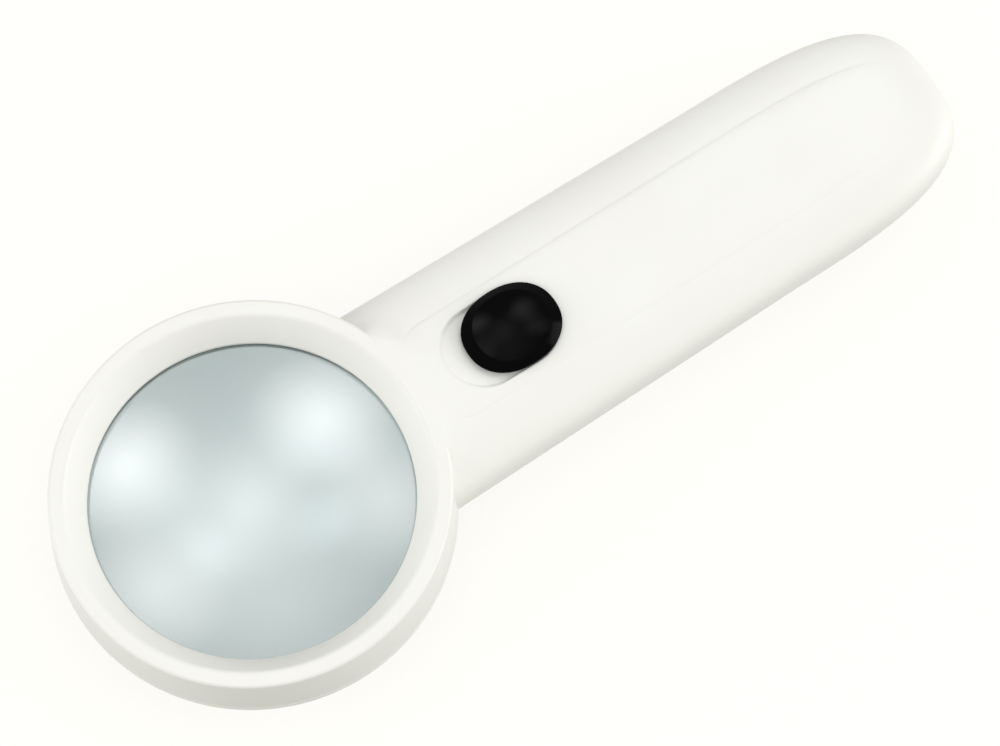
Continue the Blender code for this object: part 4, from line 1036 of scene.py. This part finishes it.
def make_cell(sign):
    """One AAA cell. The left one has its nub to the front."""
    body = CELL_LENGTH - CELL_NUB_HEIGHT
    edge = CELL_RADIUS - CELL_CORNER
    profile = [(0.0, CELL_RECESS), (CELL_WASHER_RADIUS, CELL_RECESS), (CELL_BEAD_RADIUS, 0.0)]
    profile += arc((edge, CELL_CORNER), CELL_CORNER, -90.0, 0.0)
    profile.append((CELL_RADIUS, body - CELL_BAND))
    for offset, depth in CELL_BEAD_SHAPE:
        profile.append((CELL_RADIUS - CELL_BEAD * depth, body - CELL_BEAD_Z + offset))
    profile += arc((edge, body - CELL_CORNER), CELL_CORNER, 0.0, 90.0)
    profile += [(CELL_BEAD_RADIUS, body), (CELL_WASHER_RADIUS, body - CELL_RECESS)]
    profile += [(CELL_CAP_RADIUS, body - CELL_RECESS), (CELL_NUB_RADIUS + CELL_RECESS, body)]
    profile += [(CELL_NUB_RADIUS, body + CELL_RECESS)]
    profile += arc((CELL_NUB_RADIUS - CELL_RECESS, CELL_LENGTH - CELL_RECESS), CELL_RECESS, 0.0, 90.0)
    profile.append((0.0, CELL_LENGTH))
    cell = turned("cell", profile, 2 * SMALL_STEPS)
    wear(cell, LOOKS["cell_jacket"], LOOKS["plated_steel"], LOOKS["resistor_black"], CELL_BAND_LOOK)
    for face in cell.data.polygons:
        face.material_index = cell_look(face.center.xy.length, face.center.z)
    flat_end = LINK_X - SPRING_LENGTH - 2 * FIT_GAP
    if sign < 0:
        flat_end = CONTACT_REAR_X + SPRING_LENGTH + 2 * FIT_GAP
    return place(cell, (flat_end, sign * CELL_Y, CELL_Z), (-sign, 0.0, 0.0))


def make_spring(foot_x, direction, sign):
    """Tapered coil spring between a plate and a cell's flat end."""
    points = []
    total = int(SPRING_TURNS * SMALL_STEPS)
    run = SPRING_LENGTH - 2 * SPRING_WIRE
    for index in range(total + 1):
        share = index / total
        angle = 2 * pi * SPRING_TURNS * share
        radius = mix(SPRING_RADIUS, SPRING_TIP_RADIUS, share) - SPRING_WIRE
        climb = min(max((share - SPRING_END_SHARE) / (1.0 - 2 * SPRING_END_SHARE), 0.0), 1.0)
        x = foot_x + direction * (SPRING_WIRE + run * climb)
        points.append((x, sign * CELL_Y + radius * cos(angle), CELL_Z + radius * sin(angle)))
    curve = bpy.data.curves.new("spring", "CURVE")
    curve.dimensions = "3D"
    curve.bevel_depth = SPRING_WIRE
    curve.bevel_resolution = SPRING_FACETS
    curve.use_fill_caps = True
    spline = curve.splines.new("POLY")
    spline.points.add(len(points) - 1)
    for spot, point in zip(spline.points, points):
        spot.co = (*point, 1.0)
    drawn = link("spring", curve)
    spring = link("spring", bpy.data.meshes.new_from_object(drawn))
    bpy.data.objects.remove(drawn, do_unlink=True)
    return spring


def absorb(target, *others):
    """Adds other meshes to a piece, each with one of its looks."""
    bm = bmesh.new()
    bm.from_mesh(target.data)
    for other, look_index in others:
        for face in other.data.polygons:
            face.material_index = look_index
        bm.from_mesh(other.data)
        bpy.data.objects.remove(other, do_unlink=True)
    bm.to_mesh(target.data)
    bm.free()


def make_led(sign):
    """Clear lamp with its lead frame inside, aimed below the lens."""
    rim = LED_FLANGE_RADIUS
    profile = [(0.0, 0.0), (rim, 0.0), (rim, LED_FLANGE_HEIGHT), (LED_RADIUS, LED_FLANGE_HEIGHT)]
    profile += arc((0.0, LED_LENGTH - LED_RADIUS), LED_RADIUS, 0.0, 90.0, 2 * ARC_STEPS)
    profile[-1] = (0.0, LED_LENGTH)
    lamp = turned("led", profile, SMALL_STEPS)
    wear(lamp, LOOKS["lamp_epoxy"], LOOKS["plated_steel"], PHOSPHOR_LOOK)
    half = LED_POST_HALF
    top = LED_CUP_Z + LED_CUP_DEPTH
    cup_floor = LED_CUP_Z + half
    chip = LED_CHIP_HALF
    cup = [(half, LED_CUP_Z), (LED_CUP_RADIUS, top), (LED_CUP_RADIUS - half / 2, top), (half, cup_floor)]
    absorb(
        lamp,
        (turned("cup", cup, SMALL_STEPS), LEAD_FRAME),
        (bar(-half, half, half, half, cup_floor), LEAD_FRAME),
        (bar(LED_POST_X + half, LED_POST_X + 3 * half, half, half, top), LEAD_FRAME),
        (bar(-chip, chip, chip, cup_floor, cup_floor + chip), PHOSPHOR),
    )
    return place(lamp, led_tip(sign) + LED_LENGTH * LED_AXIS, -LED_AXIS)


def make_screw(x, y):
    """Case screw that points up, with a domed head and a tapered cross recess."""
    profile = [(0.0, -SCREW_HEAD_HEIGHT), (SCREW_FACE_RADIUS, -SCREW_HEAD_HEIGHT)]
    for step in range(1, ARC_STEPS + 1):
        angle = pi / 2 * step / ARC_STEPS
        radius = mix(SCREW_FACE_RADIUS, SCREW_HEAD_RADIUS, sin(angle))
        profile.append((radius, -SCREW_EDGE - (SCREW_HEAD_HEIGHT - SCREW_EDGE) * cos(angle)))
    profile += [(SCREW_HEAD_RADIUS, 0.0), (SCREW_RADIUS, 0.0), (SCREW_RADIUS, SCREW_LENGTH - SCREW_RADIUS)]
    screw = turned("screw", profile + [(0.0, SCREW_LENGTH)], SMALL_STEPS)
    narrow = SCREW_SLOT_WIDTH / 2
    for size in ((SCREW_FACE_RADIUS, narrow), (narrow, SCREW_FACE_RADIUS)):
        rings = []
        for share, taper in ((-1.0, 1.0), (1.0, SCREW_SLOT_TAPER)):
            x_half, y_half = (side * taper for side in size)
            z = -SCREW_HEAD_HEIGHT + SCREW_SLOT_DEPTH * share
            near = [(-x_half, -y_half, z), (x_half, -y_half, z)]
            rings.append(near + [(x_half, y_half, z), (-x_half, y_half, z)])
        cut(screw, loft("slot", rings))
    screw.data.transform(Matrix.Translation((x, y, SCREW_FLOOR_Z - BOARD_GAP)))
    return screw


# Looks


def new_look(name):
    """A new node material and its Principled shader."""
    look = bpy.data.materials.new(name)
    look.use_nodes = True
    return look, look.node_tree, look.node_tree.nodes["Principled BSDF"]


def feed(node, **values):
    """Sets a node's inputs: a plain value, or a socket to link from."""
    for name, value in values.items():
        socket = node.inputs[name.replace("_", " ")]
        if isinstance(value, bpy.types.NodeSocket):
            node.id_data.links.new(value, socket)
        else:
            socket.default_value = value
    return node


def add_node(tree, kind, **values):
    """Adds a node and sets its inputs."""
    return feed(tree.nodes.new(kind), **values)


def noise(tree, scale, detail=FINE_DETAIL):
    """Noise over the object's own coordinates."""
    spot = add_node(tree, "ShaderNodeTexCoord").outputs["Object"]
    made = add_node(tree, "ShaderNodeTexNoise", Vector=spot, Scale=scale, Detail=detail)
    return made.outputs["Fac"]


def remap(tree, value, low, high, start=0.0, end=1.0):
    """Maps the values from start to end to those from low to high."""
    made = add_node(tree, "ShaderNodeMapRange", Value=value, To_Min=low, To_Max=high)
    return feed(made, From_Min=start, From_Max=end).outputs["Result"]


def spread(tree, value, low, high):
    """Maps the middle of a noise's range to a span of values."""
    return remap(tree, value, low, high, NOISE_LOW, NOISE_HIGH)


def blend_colours(tree, value, first, second):
    """Runs from one colour to another."""
    ramp = add_node(tree, "ShaderNodeValToRGB", Fac=value)
    stops = ((NOISE_LOW, first), (NOISE_HIGH, second))
    for element, (position, colour) in zip(ramp.color_ramp.elements, stops):
        element.position = position
        element.color = (*colour, 1.0)
    return ramp.outputs["Color"]


def surface(name, first, second, roughness, grain, depth, metallic=0.0, gloss=0.5):
    """A solid finish: soft colour variation, uneven gloss and a fine grain."""
    look, tree, shader = new_look(name)
    colour = blend_colours(tree, noise(tree, CLOUD_SCALE), first, second)
    rough = spread(tree, noise(tree, grain / 4), *roughness)
    height = noise(tree, grain, GRAIN_DETAIL)
    bump = add_node(tree, "ShaderNodeBump", Height=height, Distance=depth, Strength=GRAIN_STRENGTH)
    feed(shader, Base_Color=colour, Roughness=rough, Normal=bump.outputs["Normal"])
    feed(shader, Metallic=metallic, Specular_IOR_Level=gloss)
    return look


def glass_look(name, colour, ior, coat=0.0):
    """Clear plastic with a faint haze. A coat adds a softer gloss."""
    look, tree, shader = new_look(name)
    feed(shader, Base_Color=(*colour, 1.0), Transmission_Weight=1.0, IOR=ior)
    feed(shader, Coat_Weight=coat, Coat_Roughness=COAT_ROUGHNESS, Coat_IOR=COAT_IOR)
    feed(shader, Roughness=spread(tree, noise(tree, HAZE_SCALE), *HAZE))
    return look


# Each finish: name, two colours, span of roughness, scale and depth of the grain, then metal and gloss
LOOKS = {
    "white_plastic": surface(
        "white_casing", (0.895, 0.893, 0.84), (0.915, 0.914, 0.865), (0.28, 0.36), 3000.0, 3e-6, gloss=0.25
    ),
    "black_plastic": surface(
        "black_knob", (4e-4, 4e-4, 4.5e-4), (9e-4, 9e-4, 1e-3), (0.1, 0.17), 4000.0, 2e-6, gloss=0.036
    ),
    # The lens's dark grey-blue tint is painted shade: it darkens the view through the glass to look like the
    # shaded floor under the head, not a tint of the plastic
    "lens_glass": glass_look("lens_tint_painted_shade", (0.36, 0.441, 0.444), LENS_IOR, coat=1.0),
    "plated_steel": surface("steel", (0.62, 0.62, 0.63), (0.72, 0.72, 0.73), (0.22, 0.36), 9000.0, 6e-6, 1.0),
    "tinned_brass": surface("brass", (0.66, 0.56, 0.33), (0.78, 0.69, 0.46), (0.26, 0.4), 9000.0, 6e-6, 1.0),
    "lamp_epoxy": glass_look("clear_epoxy", (0.93, 0.95, 0.97), EPOXY_IOR),
    "board_green": surface("board", (0.03, 0.16, 0.07), (0.05, 0.22, 0.1), (0.35, 0.5), 3000.0, 1e-5),
    "insulator": surface("phenolic", (0.42, 0.23, 0.1), (0.55, 0.32, 0.14), (0.5, 0.65), 4000.0, 1e-5),
    "resistor_black": surface(
        "resistor", (0.03, 0.03, 0.033), (0.05, 0.05, 0.055), (0.4, 0.55), 6000.0, 6e-6
    ),
    "cell_jacket": surface("jacket", (0.08, 0.13, 0.24), (0.12, 0.2, 0.35), (0.22, 0.32), 5000.0, 4e-6, 0.6),
    "red_wire": surface("wire_red", (0.45, 0.03, 0.025), (0.6, 0.05, 0.035), (0.4, 0.5), 6000.0, 6e-6),
    "black_wire": surface("wire_black", (0.014,) * 3, (0.025,) * 3, (0.4, 0.5), 6000.0, 6e-6),
}
CELL_BAND_LOOK = surface("band", (0.52, 0.53, 0.55), (0.6, 0.61, 0.63), (0.24, 0.34), 5000.0, 4e-6, 0.8)
PHOSPHOR_LOOK = surface("phosphor", (0.75, 0.62, 0.12), (0.85, 0.72, 0.2), (0.5, 0.6), 9000.0, 4e-6)


# Pieces in the frame

low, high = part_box("lens")
LENS_X = (low.x + high.x) / 2


def dress(piece, body, slot, *nodes):
    """Puts a finished piece into the frame in place of its nodes."""
    piece.data.transform(Matrix.Translation((LENS_X, 0.0, 0.0)) @ Matrix.Scale(MM, 4))
    piece.name = nodes[0] + "_look"
    if not piece.data.materials:
        wear(piece, LOOKS[slot])
    piece.data.shade_smooth()
    piece.data.set_sharp_from_angle(angle=SMOOTH_ANGLE)
    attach(piece, body)
    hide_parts(*nodes)


dress(make_top(), "housing", "white_plastic", "top_shell")
dress(make_bottom(), "housing", "white_plastic", "bottom_shell")
dress(make_cover(), "battery_door", "white_plastic", "battery_cover")
dress(make_lens(), "housing", "lens_glass", "lens")
dress(make_retainer(), "housing", "white_plastic", "lens_retaining_ring")
dress(make_knob(), "thumb_slide", "black_plastic", "slide_knob")

for side, sign in LEFT_AND_RIGHT:
    dress(make_cell(sign), "housing", "cell_jacket", f"battery_{side}")
    dress(make_led(sign), "housing", "lamp_epoxy", f"led_{side}")
dress(make_spring(CONTACT_REAR_X + FIT_GAP, 1, -1), "housing", "plated_steel", "spring_front")
dress(make_spring(LINK_X - FIT_GAP, -1, 1), "housing", "plated_steel", "spring_tail")
for name, x, y in SCREW_SPOTS:
    dress(make_screw(x, y), "housing", "plated_steel", name)

slot_of = {row["node"]: row["material_slot"] for row in frame["record"]["subparts"]}
for name, piece in frame["nodes"].items():
    for material_slot in piece.material_slots:
        material_slot.link = "OBJECT"
        material_slot.material = LOOKS[slot_of[name]]


# Studio

CAMERA_AZIMUTH = radians(-33.42)
CAMERA_ELEVATION = radians(71.42)
CAMERA_DISTANCE = 0.45
CAMERA_TARGET = Vector((35.0 * MM + LENS_X, -2.84 * MM, 11.6 * MM))
CAMERA_FOCAL = 128.574
SENSOR_WIDTH = 36.0
CLIP_START = 0.01
FLOOR_HALF = 2.0
FLOOR_CELLS = 8
FLOOR_Z = -0.0002
FLOOR_COLOUR = (0.22, 0.205, 0.155)
FLOOR_ROUGHNESS = 0.9
FLOOR_SEEN = 0.83
WORLD_LIGHT = 0.755
WORLD_SEEN = 1.0
GLOW_DISTANCE = 0.8
GLOW_SIZE = 0.6

# Soft lamps: direction, distance, size, radiance and colour
LAMPS = {
    "side_right": ((0.83, -0.48, 0.28), 1.1, (0.7, 0.5), 4.5, WHITE),
    "side_left": ((-0.88, 0.37, 0.28), 1.1, (0.7, 0.5), 3.6, WHITE),
    "near_fill": ((-0.1, -0.45, 0.89), 1.2, (0.8, 0.5), 0.6, (1.0, 0.97, 0.9)),
}

# Glows: direction, radiance and half angle
GLOWS = {
    "glow_left": ((-0.125, 0.5215, 0.844), 7.0, 0.2),
    "glow_right": ((0.368, 0.358, 0.858), 6.3, 0.2),
    "glow_low_left": ((-0.252, 0.203, 0.946), 4.0, 0.22),
    "glow_low_right": ((0.399, 0.078, 0.914), 3.7, 0.2),
    "glow_middle": ((0.06, 0.26, 0.963), 3.2, 0.22),
    "glow_zenith": ((0.0, -0.02, 1.0), 1.6, 0.34),
}


def make_camera():
    """Camera at the photograph's angle."""
    across = cos(CAMERA_ELEVATION)
    cosine = cos(CAMERA_AZIMUTH)
    sine = sin(CAMERA_AZIMUTH)
    back = Vector((sine * across, -cosine * across, sin(CAMERA_ELEVATION)))
    right = Vector((cosine, sine, 0.0))
    up = back.cross(right)
    data = bpy.data.cameras.new("camera")
    data.lens = CAMERA_FOCAL
    data.sensor_width = SENSOR_WIDTH
    data.sensor_fit = "HORIZONTAL"
    data.clip_start = CLIP_START
    camera = link("camera", data)
    turn = Matrix((right, up, back)).transposed().to_4x4()
    camera.matrix_world = Matrix.Translation(CAMERA_TARGET + back * CAMERA_DISTANCE) @ turn
    bpy.context.scene.camera = camera


def seen_directly(tree):
    """1 for rays from the camera, from gloss or through glass, and 0 for the rest."""
    path = add_node(tree, "ShaderNodeLightPath")
    total = path.outputs["Is Camera Ray"]
    for name in ("Is Glossy Ray", "Is Transmission Ray"):
        step = tree.nodes.new("ShaderNodeMath")
        step.operation = "MAXIMUM"
        tree.links.new(total, step.inputs[0])
        tree.links.new(path.outputs[name], step.inputs[1])
        total = step.outputs["Value"]
    return total


def by_ray(tree, hidden, seen):
    """One value where a thing is seen directly, another where it only gives light."""
    return remap(tree, seen_directly(tree), hidden, seen)


def make_world():
    """Even soft light, and a white background where it is seen directly."""
    world = bpy.data.worlds.new("studio")
    bpy.context.scene.world = world
    world.use_nodes = True
    tree = world.node_tree
    feed(tree.nodes["Background"], Color=(*WHITE, 1.0), Strength=by_ray(tree, WORLD_LIGHT, WORLD_SEEN))


def make_floor():
    """Pale floor that reads as white and keeps the object's shadow."""
    bm = bmesh.new()
    bmesh.ops.create_grid(bm, x_segments=FLOOR_CELLS, y_segments=FLOOR_CELLS, size=FLOOR_HALF)
    mesh = bpy.data.meshes.new("floor")
    bm.to_mesh(mesh)
    bm.free()
    floor = link("floor", mesh)
    floor.location.z = FLOOR_Z
    look, tree, shader = new_look("floor")
    feed(shader, Base_Color=(*FLOOR_COLOUR, 1.0), Roughness=FLOOR_ROUGHNESS, Specular_IOR_Level=0.0)
    feed(shader, Emission_Color=(*WHITE, 1.0), Emission_Strength=by_ray(tree, 0.0, FLOOR_SEEN))
    mesh.materials.append(look)


def add_lamp(name, direction, distance, size, radiance, colour):
    """A soft rectangular lamp that faces the lens from a direction."""
    data = bpy.data.lights.new(name, "AREA")
    data.shape = "RECTANGLE"
    data.size = size[0]
    data.size_y = size[1]
    data.color = colour
    data.energy = radiance * pi * size[0] * size[1]
    lamp = link(name, data)
    away = Vector(direction).normalized()
    lamp.location = Vector((LENS_X, 0.0, 0.0)) + away * distance
    lamp.rotation_euler = away.to_track_quat("Z", "Y").to_euler()
    return lamp


def add_glow(name, direction, radiance, half_angle):
    """A round glow with a fading edge that only shows in gloss and glass."""
    lamp = add_lamp(name, direction, GLOW_DISTANCE, (GLOW_SIZE, GLOW_SIZE), radiance, WHITE)
    lamp.data.spread = 2 * half_angle
    lamp.data.energy *= 1.0 - half_angle / math.tan(half_angle)
    lamp.visible_diffuse = False


make_camera()
make_world()
make_floor()
for name, values in LAMPS.items():
    add_lamp(name, *values)
for name, values in GLOWS.items():
    add_glow(name, *values)
bpy.context.scene.view_settings.view_transform = "Standard"
